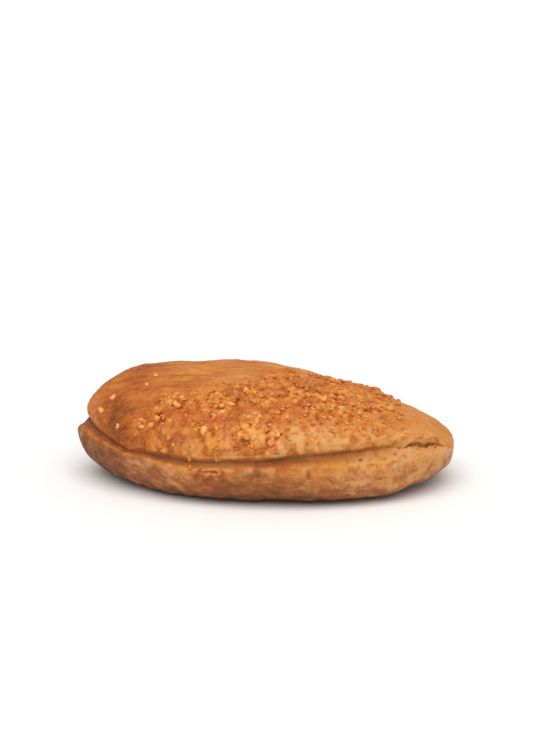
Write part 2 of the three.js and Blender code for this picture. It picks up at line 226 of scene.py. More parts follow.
def hashed(cells, seed):
    # a repeatable value between 0 and 1 for each cell of a lattice
    c = cells.astype(np.int64).astype(np.uint32)
    n = (c[..., 0] * np.uint32(73856093)) ^ (c[..., 1] * np.uint32(19349663))
    n = n ^ (c[..., 2] * np.uint32(83492791)) ^ np.uint32((seed * 2654435761) % 4294967296)
    n = (n ^ (n >> np.uint32(13))) * np.uint32(1274126177)
    n = n ^ (n >> np.uint32(16))
    return (n & np.uint32(0xFFFFFF)).astype(float) / 0xFFFFFF


def softNoise(points, cell, seed):
    # hashed values at the corners of cubic cells, blended by 3t² - 2t³; from -1 to 1
    q = points / cell
    base = np.floor(q)
    t = q - base
    t = t * t * (3 - 2 * t)
    total = 0
    for corner in range(8):
        step = np.array([(corner >> k) & 1 for k in range(3)])
        weight = np.prod(np.where(step == 1, t, 1 - t), axis=-1)
        total = total + hashed(base + step, seed) * weight
    return total * 2 - 1


def grains(points, cell, seed):
    # distance to the nearest of one jittered point in each cell, over the cell's size, how
    # much farther the second nearest is, and a value of its own for the nearest
    q = points / cell
    base = np.floor(q)
    nearest = np.full(q.shape[:-1], 9.0)
    second = nearest.copy()
    owner = np.zeros(q.shape[:-1])
    for corner in range(27):
        step = np.array([corner // 9 - 1, corner // 3 % 3 - 1, corner % 3 - 1])
        home = base + step
        spot = home + np.stack([hashed(home, seed + k) for k in range(3)], -1)
        distance = lengthOf(q - spot)
        closer = distance < nearest
        second = np.where(closer, nearest, np.minimum(second, distance))
        nearest = np.where(closer, distance, nearest)
        owner = np.where(closer, hashed(home, seed + 7), owner)
    return nearest, second - nearest, owner


def addObject(name, data):
    added = bpy.data.objects.new(name, data)
    bpy.context.scene.collection.objects.link(added)
    return added


def makePiece(name, points, faces, material):
    # points in millimetres of the form, moved onto the CAD solid's own place
    mesh = bpy.data.meshes.new(name)
    mesh.from_pydata(((points + formShift) * mm).tolist(), [], faces)
    mesh.polygons.foreach_set("use_smooth", np.full(len(mesh.polygons), True))
    mesh.validate()
    mesh.update()
    mesh.materials.append(material)
    piece = addObject(name, mesh)
    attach(piece, "root")
    return piece


def addMask(piece, name, values):
    layer = piece.data.attributes.new(name, "FLOAT", "POINT")
    layer.data.foreach_set("value", np.ascontiguousarray(values, dtype=np.float32).ravel())


def insideBox(points):
    # no relief or loose piece goes past the CAD solid's box
    return np.clip(points, cadLow - formShift, cadHigh - formShift)


# the solid stands with its box centred on the origin, so the form is moved by the same amount
outline = lipPoint(sectionAt(np.linspace(0, 2 * np.pi, 4000, endpoint=False)), 0.0)
formLow, formHigh = outline.min(axis=0), outline.max(axis=0)
cadLow, cadHigh = (np.array(corner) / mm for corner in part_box("cheese_pie"))
formShift = (cadLow + cadHigh) / 2 - (formLow + formHigh) / 2
formShift[2] = cadLow[2]
print("stage: form ready, shift", np.round(formShift, 2))


def fromScreen(red, green, blue):
    # a colour as it shows on screen, 0 to 255, as the linear colour that shaders use
    shares = [c / 255 for c in (red, green, blue)]
    return tuple(c / 12.92 if c <= 0.04045 else ((c + 0.055) / 1.055) ** 2.4 for c in shares) + (1.0,)


def addNode(tree, kind, values=None, **settings):
    node = tree.nodes.new(kind)
    for key, value in settings.items():
        setattr(node, key, value)
    setInputs(node, values or {})
    return node


def setInputs(node, values):
    # each input takes a link from a socket, or a plain value
    for key, value in values.items():
        if isinstance(value, bpy.types.NodeSocket):
            node.id_data.links.new(value, node.inputs[key])
        else:
            node.inputs[key].default_value = value


def addRamp(factor, *stops):
    # stops are places from 0 to 1, each followed by its colour on screen
    ramp = addNode(factor.id_data, "ShaderNodeValToRGB", {"Fac": factor})
    elements = ramp.color_ramp.elements
    elements[0].position, elements[0].color = stops[0], fromScreen(*stops[1])
    elements[1].position, elements[1].color = stops[-2], fromScreen(*stops[-1])
    for place, colour in zip(stops[2:-2:2], stops[3:-2:2]):
        elements.new(place).color = fromScreen(*colour)
    return ramp.outputs["Color"]


def calculate(operation, a, b, clamp=False):
    # one step of arithmetic on a mask, in the mask's own node tree
    tree = (a if isinstance(a, bpy.types.NodeSocket) else b).id_data
    return addNode(tree, "ShaderNodeMath", {0: a, 1: b}, operation=operation, use_clamp=clamp).outputs[0]


def times(mask, amount):
    return calculate("MULTIPLY", mask, amount)


def aboutMiddle(mask, amount, middle=0.5):
    # how far a mask is from its middle, times the amount
    return times(calculate("SUBTRACT", mask, middle), amount)


def addUp(total, *others):
    # a sum that is kept between 0 and 1 at its end
    for other in others[:-1]:
        total = calculate("ADD", total, other)
    return calculate("ADD", total, others[-1], clamp=True)


def blendColour(factor, a, b):
    values = {0: factor, 6: a, 7: b}
    return addNode(factor.id_data, "ShaderNodeMix", values, data_type="RGBA", clamp_factor=True).outputs[2]


def addNoise(place, scale, detail, roughness, distortion=0.0):
    values = {"Vector": place, "Scale": scale, "Detail": detail, "Roughness": roughness}
    node = addNode(place.id_data, "ShaderNodeTexNoise", {**values, "Distortion": distortion})
    return node.outputs[0]


def newGroup(name, defaults):
    # a shader node group with a place, other inputs with these defaults, and one output
    group = bpy.data.node_groups.new(name, "ShaderNodeTree")
    group.interface.new_socket("Place", in_out="INPUT", socket_type="NodeSocketVector")
    for label, default in defaults.items():
        kind = "NodeSocketVector" if isinstance(default, tuple) else "NodeSocketFloat"
        group.interface.new_socket(label, in_out="INPUT", socket_type=kind).default_value = default
    group.interface.new_socket("Mask", in_out="OUTPUT", socket_type="NodeSocketFloat")
    return group, group.nodes.new("NodeGroupInput").outputs, group.nodes.new("NodeGroupOutput").inputs[0]


def placeGroup(group, place, values):
    return addNode(place.id_data, "ShaderNodeGroup", {"Place": place, **values}, node_tree=group).outputs[0]


def noiseGroup(name, defaults, *layers):
    # one noise or a mix of two at a place that may be squeezed, each with its detail, roughness
    # and distortion; where there is a contrast, it is then pulled apart around the middle
    group, given, result = newGroup(name, defaults)
    place = given["Place"]
    if "Squeeze" in defaults:
        values = {0: place, 1: given["Squeeze"]}
        place = addNode(group, "ShaderNodeVectorMath", values, operation="MULTIPLY").outputs[0]
    masks = [addNoise(place, given[scale], *kind) for scale, *kind in layers]
    mask = masks[0]
    if len(masks) > 1:
        values = {0: given["Fine Share"], 2: masks[0], 3: masks[1]}
        mask = addNode(group, "ShaderNodeMix", values, data_type="FLOAT").outputs[0]
    if "Contrast" in defaults:
        mask = addUp(aboutMiddle(mask, given["Contrast"]), 0.5)
    group.links.new(mask, result)
    return group


def speckGroup():
    # small round specks: near the middle of a cell, and only in cells whose own value is low
    group, given, result = newGroup("specks", {"Scale": 500.0, "Size": 0.3, "Amount": 0.2})
    values = {"Vector": given["Place"], "Scale": given["Scale"]}
    cells = addNode(group, "ShaderNodeTexVoronoi", values, feature="F1").outputs
    own = addNode(group, "ShaderNodeSeparateColor", {0: cells["Color"]}).outputs[0]
    inside = calculate("SUBTRACT", given["Size"], cells["Distance"])
    soft = calculate("MULTIPLY", inside, 8.0, clamp=True)
    group.links.new(times(soft, calculate("LESS_THAN", own, given["Amount"])), result)
    return group


# uneven browning, egg-wash and stretch streaks, and the fine relief of pores and blisters
mottling = noiseGroup(
    "unevenBrowning", {"Broad Scale": 60.0, "Fine Scale": 300.0, "Fine Share": 0.4, "Contrast": 2.0},
    ("Broad Scale", 3.0, 0.55, 0.6), ("Fine Scale", 4.0, 0.65))
streaks = noiseGroup(
    "streaks", {"Squeeze": (0.15, 1.0, 1.0), "Scale": 200.0, "Contrast": 2.0}, ("Scale", 5.0, 0.6, 0.35))
grain = noiseGroup(
    "bakedGrain", {"Broad Scale": 450.0, "Fine Scale": 1800.0, "Fine Share": 0.35},
    ("Broad Scale", 4.0, 0.6), ("Fine Scale", 3.0, 0.7))
specks = speckGroup()

# the masks that the crust's pieces carry and its material reads
crustMasks = ("bake", "under", "crease", "torn", "pocket", "shadedGaps", "foot", "cheeseToneAndLight", "thick", "lowBrowningAndShade",
              "sidePale", "chip", "curls", "paleDabsAndHighlights")
crustLook = {
    # colours on screen, red, green and blue
    "pale": (224, 163, 97), "gold": (214, 138, 58), "brown": (182, 97, 34), "deep": (118, 56, 22),
    "cheeseLow": (154, 66, 22), "cheeseMid": (200, 102, 40), "cheeseHigh": (242, 168, 82),
    # the side's colours are darker partly as painted shade; the slit's and the crease's colours are painted
    # shade, the foot's burnt crust and painted shade, and the dab's partly painted highlight; cheeseLow also
    # paints the shade in the gaps between cobbles
    "sideDark": (104, 58, 28), "sideMid": (154, 90, 47), "sidePale": (206, 150, 95),
    "inside": (212, 142, 62), "slitShadeColour": (140, 84, 34), "footBrownAndShade": (82, 46, 20), "crease": (126, 74, 38),
    "chip": (146, 66, 28), "curl": (222, 138, 66), "dabAndHighlight": (216, 160, 110),
    "blotches": {"Broad Scale": 70.0, "Fine Scale": 340.0, "Fine Share": 0.6, "Contrast": 2.6},
    "speckled": {"Broad Scale": 160.0, "Fine Scale": 620.0, "Fine Share": 0.5, "Contrast": 2.4},
    "brushed": {"Squeeze": (0.14, 1.0, 0.9), "Scale": 400.0, "Contrast": 2.6},
    "stretched": {"Squeeze": (0.5, 1.0, 1.0), "Scale": 250.0, "Contrast": 1.9},
    "dots": {"Scale": 420.0, "Size": 0.24, "Amount": 0.12},
    "grain": {"Broad Scale": 380.0, "Fine Scale": 1500.0, "Fine Share": 0.4},
    # the masks that colour the crust last, in their order: mask, strength and colour. The gaps, crease, slit
    # and pits and the chip's hollow take painted shade, the foot burnt crust and painted shade, and the dabs
    # pale mottling and painted highlight
    "tints": [("dots", 0.5, "deep"), ("shadedGaps", 0.3, "cheeseLow"), ("crease", 0.85, "crease"),
              ("chip", 0.85, "chip"), ("curls", 0.7, "curl"), ("paleDabsAndHighlights", 1.0, "dabAndHighlight"), ("foot", 0.8, "footBrownAndShade"),
              ("pocket", 0.85, "inside"), ("torn", 1.0, "slitShadeColour")],
    "dullest": 0.64, "shiniest": 0.42, "specular": 0.2, "bumpDistance": 0.0008, "bumpStrength": 0.7,
}


def newMaterial(name):
    material = bpy.data.materials.new(name)
    material.use_nodes = True
    tree = material.node_tree
    tree.nodes.clear()
    shader = addNode(tree, "ShaderNodeBsdfPrincipled")
    addNode(tree, "ShaderNodeOutputMaterial", {"Surface": shader.outputs[0]})
    return material, shader, addNode(tree, "ShaderNodeTexCoord").outputs["Object"]


def finishMaterial(shader, look, colour, roughness, height):
    # the height is the fine relief that is left to the bump
    values = {"Height": height, "Strength": look["bumpStrength"], "Distance": look["bumpDistance"]}
    bump = addNode(shader.id_data, "ShaderNodeBump", values).outputs[0]
    setInputs(shader, {"Base Color": colour, "Roughness": roughness})
    setInputs(shader, {"Specular IOR Level": look["specular"], "Normal": bump})


def readMask(tree, name, part="Fac"):
    return addNode(tree, "ShaderNodeAttribute", attribute_name=name, attribute_type="GEOMETRY").outputs[part]


def crustMaterial():
    look = crustLook
    material, shader, place = newMaterial("bakedCrust")
    tree = shader.id_data
    masks = {name: readMask(tree, name) for name in crustMasks}
    blotches, speckled = (placeGroup(mottling, place, look[key]) for key in ("blotches", "speckled"))
    brushed = placeGroup(streaks, place, look["brushed"])
    stretched = placeGroup(streaks, readMask(tree, "wrap", "Vector"), look["stretched"])
    # how far each spot is browned: the piece's own mask, which also carries painted shade in the groove and
    # painted highlight on the pleats, then blotches, then streaks
    uneven, combed = aboutMiddle(blotches, 0.38), aboutMiddle(brushed, 0.25)
    browned = addUp(masks["bake"], uneven, combed)
    colour = addRamp(browned, 0.0, look["pale"], 0.35, look["gold"], 0.68, look["brown"], 1.0, look["deep"])
    # the side below the crest is blotched along its length and darker towards its foot, partly browning and
    # partly painted shade
    sideTone = calculate("SUBTRACT", stretched, aboutMiddle(masks["bake"], 0.6, 0.45))
    sideTone = calculate("ADD", sideTone, aboutMiddle(speckled, 0.55))
    sideTone = calculate("SUBTRACT", sideTone, calculate("SUBTRACT", times(masks["lowBrowningAndShade"], 0.42), 0.07))
    sideTone = addUp(addUp(sideTone, times(masks["sidePale"], 0.34)), times(uneven, 0.5))
    side = addRamp(sideTone, 0.1, look["sideDark"], 0.5, look["sideMid"], 0.95, look["sidePale"])
    colour = blendColour(times(masks["under"], 0.85), colour, side)
    # baked cheese: darker between the cobbles than on them, partly its own toasting and partly painted shade
    # between them and painted highlight on their tops
    melted = addRamp(addUp(masks["cheeseToneAndLight"], times(uneven, 0.7)), 0.06, look["cheeseLow"],
                     0.4, look["cheeseMid"], 0.64, look["gold"], 0.97, look["cheeseHigh"])
    colour = blendColour(times(masks["thick"], 0.85), colour, melted)
    masks["dots"] = placeGroup(specks, place, look["dots"])
    masks["chip"] = times(masks["chip"], addUp(speckled, 0.3))
    masks["paleDabsAndHighlights"] = times(masks["paleDabsAndHighlights"], calculate("ADD", times(speckled, 0.6), 0.25))
    for name, strength, key in look["tints"]:
        colour = blendColour(times(masks[name], strength), colour, fromScreen(*look[key]))
    shine = {"Value": brushed, "To Min": look["shiniest"], "To Max": look["dullest"]}
    roughness = addNode(tree, "ShaderNodeMapRange", shine).outputs[0]
    height = calculate("ADD", placeGroup(grain, place, look["grain"]), times(brushed, 0.5))
    finishMaterial(shader, look, colour, roughness, height)
    return material


crust = {
    "frontColumns": 480, "backColumns": 240,
    "underRows": 5, "bellyRows": 26, "lipRows": 22, "rollRows": 16, "domeRows": 110,
    # a torn stretch of seam near the right end, as degrees round the pie and rows (1 widest
    # line, 2 bottom of the groove, 3 top of the roll): its upper and lower edge, and how low
    # the shallow pocket under it reaches
    "tearUpper": [(316.5, 1.97), (319.5, 2.06), (321.5, 2.36), (323.2, 2.62), (325, 2.78), (326.5, 2.82),
                  (329.2, 2.62), (331.5, 2.74), (332.8, 2.95), (334.5, 3.02), (336.8, 2.85), (339.2, 2.3),
                  (341.5, 2.13)],
    "tearLower": [(316.5, 1.91), (319.5, 1.95), (321.5, 2.0), (324.5, 1.98), (326.8, 1.92), (329.2, 1.89),
                  (332.5, 1.92), (335.8, 1.95), (338, 2.02), (341.5, 2.08)],
    "pocketLow": [(321.5, 1.94), (324, 1.86), (326.2, 1.76), (328.8, 1.6), (331.2, 1.7), (334, 1.84),
                  (337.5, 1.94)],
    "tearSpan": (316.5, 317.5, 340.5, 341.5), "pocketSpan": (321.5, 323, 336, 338),
    "tearDepth": 1.5, "pocketDepth": 1.0, "pocketSteps": 4,
    # cobbles of melted cheese: size of a cell, seed, lowest share and height in millimetres
    "cobbles": (3.3, 11, 0.15, 1.85), "finerCobbles": (1.6, 23, 0.3, 0.75), "cobbleMiddle": 1.17,
    # small pits, sunk and painted dark as shade: degrees, row and size
    "pits": [(302.8, 1.72, 0.7), (315.5, 1.78, 0.65)],
    # rounded lumps of melted cheese: degrees, row, radius in millimetres and how pale
    "lumps": [(257, 3.3, 1.5, 1), (258, 3.18, 1.8, 1), (252.5, 3.24, 1.1, 0.7), (241, 3.2, 1.1, 0.9),
              (241.5, 3.28, 1, 0.6), (246, 3.2, 1.3, 0.7), (246, 3.12, 1, 0.6), (249, 3.1, 1.3, 0.5),
              (248, 3.04, 1.3, 0.6), (244, 3.04, 0.8, 0.6), (264, 3.06, 1.4, 0.9), (266, 3.04, 1.6, 1),
              (258, 3.1, 1.2, 0.4), (259, 3.04, 1.1, 0.4), (256.5, 3.04, 1, 0.5), (236.5, 3.32, 1.2, 0.4),
              (268, 3.08, 1.6, 0.8), (270, 3.06, 1.3, 0.7), (273, 3.04, 1.4, 0.9), (275.5, 3.04, 1.6, 1),
              (273, 3.42, 1.2, 0.6), (280, 3.2, 1.3, 0.6), (289.5, 3.36, 1.4, 0.7), (289, 3.24, 1.4, 0.8),
              (292.5, 3.48, 1.1, 0.6), (300, 3.28, 1.1, 0.5), (271.5, 3.14, 1.3, 0.8),
              (293.5, 3.12, 1.1, 0.4), (286, 3.14, 1.1, 0.4), (284.5, 3.38, 1.1, 0.3)],
    # a short dark scar and a chipped patch on the side: degrees and row
    "scar": (286.4, 1.27), "chip": (257.4, 1.2),
    # the patch's half width in degrees, its half height in rows, and its two curled edges
    "chipWide": 6.0, "chipHigh": 0.42, "curlReach": 3.2, "archRow": 1.55, "curlRow": 1.18,
    # how the crust swells under a large crumb, as shares of the crumb's length
    "moundReach": 0.7, "moundHeight": 0.22,
}

seamLook = {
    # relief in millimetres: pleats, and what the gathered stretch adds to them
    "pleats": 0.3, "gatheredPleats": 0.32, "pleatRows": (0.25, 0.8, 2.8, 3.3),
    # lifted and sunken leaves: how much, their size, how far they bend and their soft edge
    "leaves": 0.3, "leafSize": 4.5, "leafBend": 0.9, "leafEdge": 0.4, "leafRows": (0.3, 0.6, 2.6, 3.05),
    "sideRows": (0.02, 0.25, 0.6, 1), "crestRow": 1.5, "crestWide": 0.3, "crestSunk": 0.15,
    # the sheets' meeting line in the groove, and what the left end adds to it
    "crease": 0.5, "creaseWide": 0.17, "creaseLeft": 0.4, "creaseLeftSpan": (-20, -60),
    # where the groove is painted dark as shade: the rows, and along X
    "grooveRows": (1.42, 2.1, 2.25, 2.6), "grooveSpan": (75, 25),
}

cheeseBand = {
    "left": -56, "right": 64, "topMiddle": -1, "topSlope": 0.45, "topRise": 14, "riseFrom": -7, "riseTo": 9,
    "softEdge": 12, "loose": 0.42,
    # the bare strip over the seam at the right: degrees over which it widens, share up the dome
    "bareFrom": 276, "bareTo": 300, "bareShare": 0.045, "seamEdge": 1.5,
    # how many rows below the roll the cheese has melted, up to these degrees and past them
    "belowTo": 278, "belowLeft": 0.35, "belowRight": 0.025, "raggedSpan": (300, 270),
    # how far the cobbles are bent out of round, and how much cheese counts as thick or as any
    "bend": 0.55, "thickFrom": 0.75, "anyFrom": 0.15,
    # how pale it is: all over, then on lumps, by the seam, on cobbles and on the finer cobbles, where it is
    # partly painted highlight on their tops; then how dark the gaps between cobbles are painted as shade,
    # less in lumps, and how wide
    "tones": (0.02, 0.46, 0.3, 0.38, 0.28), "shadedGaps": 0.6, "gapsInLumps": 0.7, "gapWide": 0.3,
    # where the grated cheese lies thickest: degrees round the pie, row and reach in millimetres
    "clumps": [(240, 3.27, 5), (244.5, 3.25, 4), (254.3, 3.33, 4.5), (257, 3.26, 4.5), (259.5, 3.16, 3.5),
               (264.5, 3.02, 5), (268, 3.07, 4), (271, 3.02, 4.5), (276, 3.03, 4.5), (255.5, 3.05, 4),
               (270.5, 3.11, 4), (273.2, 3.37, 4), (284, 3.47, 5), (289.5, 3.29, 4.5), (293.8, 3.5, 5),
               (299.5, 3.35, 4.5), (306, 3.49, 4), (225, 3.07, 3.5), (231, 3.06, 4), (238, 3.13, 3.5),
               (299, 3.62, 4), (265.5, 3.52, 3.5)],
}

crumbs = {
    "largeCount": 135, "largeLength": (4.2, 1.9), "largeGap": 0.72, "clumpedShare": 0.5, "largeTries": 12000,
    "largeNarrow": 0.6, "largeWiden": 0.35, "largeFlat": 0.66, "strayTone": 0.95,
    # the share of area at which each place tried in thick cheese is kept
    "largeArea": 0.5, "scatteredArea": 1.1,
    "strays": [(208.6, 0.06, 3.3), (210.8, 0.22, 3), (224.6, 0.46, 2), (225.2, 0.61, 2.2), (221, 0.02, 2)],
    # melted crumbs that hang over the seam: degrees, row, length and turn
    "hanging": [(250.3, 2.35, 3.6, 1.57), (250.6, 1.72, 2.2, 1.4), (259.0, 2.62, 4.4, 1.57),
                (260.2, 2.3, 2.6, 1.57), (256.5, 2.55, 2.4, 1.57)],
    # orange crumbs by the tear: degrees, row and length
    "byTear": [(318.2, 1.7, 1.4), (319.6, 1.62, 1.0), (333.4, 1.62, 1.3), (335.2, 1.55, 1.5),
               (337.0, 1.7, 1.0), (325.0, 1.5, 0.9), (341.5, 2.3, 1.1)],
    # name, number, lengths, seed, crowding, fineness of the mesh, roughness and how far they stand out
    "scattered": [("mediumCrumbs", 1500, (1.3, 3.0), 1, 1.0, 2, 0.45, -0.1),
                  ("smallCrumbs", 2300, (0.6, 1.4), 2, 0.7, 1, 0.4, 0.0)],
    # bits along the curled edges of the chip, and the least and most relief that a crumb rests on
    "chipCount": 12, "restsOn": (-0.4, 0.6),
    "pale": (240, 182, 98), "orange": (220, 134, 54), "brown": (170, 84, 30),
    "patchy": {"Broad Scale": 260.0, "Fine Scale": 900.0, "Fine Share": 0.35, "Contrast": 2.0},
    "toasted": {"Scale": 900.0, "Size": 0.34, "Amount": 0.16},
    "grain": {"Broad Scale": 900.0, "Fine Scale": 2600.0, "Fine Share": 0.3},
    "roughness": 0.46, "specular": 0.4, "bumpStrength": 0.5, "bumpDistance": 0.0003,
}

# layers of noise: the size of a cell in millimetres, a seed and a height or amount
noises = {
    "lumpy": [(10.0, 3, 0.42), (4.4, 4, 0.26), (2.1, 5, 0.12)], "brushed": [(1.1, 14, 0.06)],
    "cheeseEdge": [(3.0, 34, 0.08)], "thickness": [(4.0, 35, 0.25), (1.8, 36, 0.15)],
    "grit": [(1.2, 40, 0.24)], "cheeseTone": [(1.0, 39, 0.16), (3.6, 37, 0.3), (8.5, 38, 0.26)],
    "pleats": [(2.6, 8, 1), (1.3, 9, 0.5)], "gathered": [(2.4, 48, 0.3)],
    "rolled": [(2.2, 49, 0.3), (1.1, 50, 0.2)], "rough": [(1.3, 44, 0.3), (2.8, 45, 0.22)],
    "side": [(4.2, 97, 0.4)], "crest": [(13.0, 95, 0.5), (5.0, 96, 0.3)],
    "creaseDepth": [(5.0, 10, 0.3)], "creaseTone": [(2.2, 59, 0.2)],
    "ragged": [(1.6, 41, 0.09), (0.8, 42, 0.04)], "pit": [(0.9, 47, 0.25)],
    "chipOutline": [(2.4, 51, 0.4)], "chipFloor": [(1.3, 52, 0.3)], "chipAcross": [(1.5, 53, 0.1)],
    "archRow": [(1.1, 54, 0.07)], "curlRow": [(1.3, 55, 0.13)], "scar": [(0.9, 56, 0.3)],
    "browning": [(26.0, 61, 0.08), (9.0, 62, 0.09)], "leftBrowning": [(5.0, 63, 0.14)],
    "mottled": [(1.7, 69, 0.3)], "finelyMottled": [(0.9, 70, 0.3)], "rollFront": [(1.3, 98, 0.5)],
    "strip": [(3.0, 66, 0.3), (1.2, 67, 0.34)], "under": [(3.0, 64, 0.2), (1.2, 65, 0.1)],
    "foot": [(3.4, 57, 0.22)], "crestRow": [(4.0, 60, 0.1)],
    "paleDabsAndHighlights": [(2.2, 68, 1)], "stripDabs": [(1.6, 58, 1)],
    "crumb": [(1.1, 71, 1), (0.55, 72, 0.7), (0.27, 73, 0.45)],
    "leafRow": [(1.9, 105, 0.05), (0.7, 106, 0.025)], "leafBend": [(3.1, 103, 0.6)],
    "leafEdge": [(2.1, 101, 0.8), (0.8, 102, 0.5), (0.35, 107, 0.2)],
    "leafWaves": [(0.9, 104, 0.12)], "leafTone": [(1.6, 108, 0.5)],
}

# stretches of crust: the degrees and the rows at which each starts, is full, is last full and ends
patches = {
    "gathered": ((258, 266, 296, 312), (2.2, 2.5, 2.95, 3.3)),
    "rolled": ((276, 292, 400, 401), (2.2, 2.5, 3.05, 3.3)),
    "edgeLight": ((248, 258, 290, 302), (2.6, 2.85, 3.03, 3.12)),
    "rough": ((312, 320, 343, 350), (1.2, 1.5, 2.6, 3.06)),
    "ledge": ((280, 305, 345, 356), (1.4, 1.55, 1.8, 2.1)),
    "mottled": ((292, 306, 344, 352), (1.0, 1.3, 1.95, 2.3)),
    "strip": ((276, 292, 325, 345), (2.1, 2.6, 3.02, 3.25)),
    "rollFront": ((225, 245, 286, 300), (2.5, 2.85, 3.02, 3.14)),
    "rightLedge": ((285, 305, 400, 401), (1.35, 1.6, 1.9, 2.3)),
}


def bendAt(points, cell, seed):
    # three noises at once, to bend a place out of line
    return np.stack([softNoise(points, cell, seed + k) for k in range(3)], -1)


def layered(points, name):
    return sum(softNoise(points, cell, seed) * height for cell, seed, height in noises[name])


def inPatch(name, degrees, row):
    across, upwards = patches[name]
    return between(degrees, *across) * between(row, *upwards)


def curveAt(places, degrees):
    return np.interp(degrees, [p[0] for p in places], [p[1] for p in places])


def formPoint(angle, row):
    # rows: 0 foot, 1 widest line, 2 bottom of the groove, 3 top of the roll, 4 ridge
    s = sectionAt(angle)
    shapes = (bellyPoint, lipPoint, rollPoint, domePoint)
    parts = [shape(s, np.clip(row - k, 0, 1)) for k, shape in enumerate(shapes)]
    which = np.clip(np.floor(row), 0, 3)[..., None]
    return np.select([which == k for k in range(4)], parts)


def formFrame(angle, row):
    # the place on the form, the way out from it, the way round it and its share of area
    here = formPoint(angle, row)
    around = formPoint(angle + 0.01, row) - here
    out = np.cross(around, formPoint(angle, row + 0.01) - here)
    return here, unit(out), unit(around), lengthOf(out)


clumpPlaces = np.array(cheeseBand["clumps"])
clumpCentres = formPoint(np.radians(clumpPlaces[:, 0]), clumpPlaces[:, 1])


def clumpedAt(points):
    total = np.zeros(points.shape[:-1])
    for centre, reach in zip(clumpCentres, clumpPlaces[:, 2]):
        total = np.maximum(total, hill(lengthOf(points - centre), 0, reach))
    return total


def sprinkled(points, angle, row):
    # how thickly a place was sprinkled with cheese: a band on the front that crosses the
    # ridge, thickest in clumps, and a bare strip over the seam at the right
    x, y, degrees = points[..., 0], points[..., 1], np.degrees(angle) % 360
    left, right, edge = cheeseBand["left"], cheeseBand["right"], cheeseBand["softEdge"]
    rise = cheeseBand["topRise"] * fade(cheeseBand["riseFrom"], cheeseBand["riseTo"], x)
    top = cheeseBand["topMiddle"] + cheeseBand["topSlope"] * x + rise
    band = fade(0, edge, top - y) * between(x, left, left + edge, right - edge, right)
    bare = cheeseBand["bareShare"] * fade(cheeseBand["bareFrom"], cheeseBand["bareTo"], degrees)
    aboveSeam = fade(0, cheeseBand["seamEdge"], (row - 3) / (bare + 0.001))
    return band * aboveSeam * mix(cheeseBand["loose"], 1, clumpedAt(points))


def largeCrumb(item, angle, row, length, tone):
    # its angle and row, length, width and height as shares of that, turn and tone
    narrow = crumbs["largeNarrow"] + crumbs["largeWiden"] * float(draw(item, 5))
    return angle, row, length, narrow, crumbs["largeFlat"], float(draw(item, 6)) * np.pi, tone


def largePlaces():
    # the same crumbs that are fused onto the solid: strays first, then items that are kept
    # where the cheese lies thick and no earlier crumb is too near
    places = [largeCrumb(-1 - k, math.radians(degrees), 3 + share, length, crumbs["strayTone"])
              for k, (degrees, share, length) in enumerate(crumbs["strays"])]
    item = np.arange(1, crumbs["largeTries"] + 1)
    angle, row = draw(item, 7) * 2 * np.pi, 3 + 0.99 * draw(item, 8)
    here, _, _, area = formFrame(angle, row)
    thickness, clumped, chance = sprinkled(here, angle, row), clumpedAt(here), area / crumbs["largeArea"]
    centres = [formPoint(np.array(p[0]), np.array(p[1])) for p in places]
    lengths = [p[2] for p in places]
    for k in range(len(item)):
        if len(places) == crumbs["largeCount"]:
            break
        picky = 3 if len(places) < crumbs["largeCount"] * crumbs["clumpedShare"] else 1
        if draw(item[k], 9) >= thickness[k] ** picky * chance[k]:
            continue
        length = mix(*crumbs["largeLength"], (len(places) / crumbs["largeCount"]) ** 0.6)
        apart = lengthOf(np.array(centres) - here[k])
        if (apart > (np.array(lengths) + length) / 2 * crumbs["largeGap"]).all():
            centres.append(here[k])
            lengths.append(length)
            tone = 0.2 + 0.5 * float(draw(item[k], 10)) + 0.35 * float(clumped[k])
            places.append(largeCrumb(item[k], angle[k], row[k], length, tone))
    return places


largeCrumbs = largePlaces()
moundCentres = formPoint(*(np.array([p[k] for p in largeCrumbs]) for k in (0, 1)))
moundLengths = [p[2] for p in largeCrumbs]
lumpPlaces = np.array(crust["lumps"])
lumpCentres = formPoint(np.radians(lumpPlaces[:, 0]), lumpPlaces[:, 1])


def moundAt(points):
    # the crust swells a little where a large crumb sits on it
    total = np.zeros(points.shape[:-1])
    for centre, length in zip(moundCentres, moundLengths):
        mound = hill(lengthOf(points - centre), 0, crust["moundReach"] * length)
        total = np.maximum(total, crust["moundHeight"] * length * mound)
    return total


def lumpsAt(points):
    # height and paleness of the rounded lumps: exp(-(distance / radius)^4), bent out of round
    height, pale = np.zeros(points.shape[:-1]), np.zeros(points.shape[:-1])
    bent = points + 0.4 * bendAt(points, 2.6, 91)
    for centre, (_, _, radius, tone) in zip(lumpCentres, lumpPlaces):
        near = np.exp(-((lengthOf(bent - centre) / (1.1 * radius)) ** 4))
        height, pale = np.maximum(height, near * radius * 0.6), np.maximum(pale, near * tone)
    return height, pale


def cobblesAt(points, size, seed, least, height):
    # half-round caps over jittered cells, each as high as its own value says, and the gaps
    # between them
    near, gap, own = grains(points, size, seed)
    caps = np.sqrt(np.clip(1 - (near / 0.8) ** 2, 0, 1))
    return caps * mix(least, 1, own) * height, gap


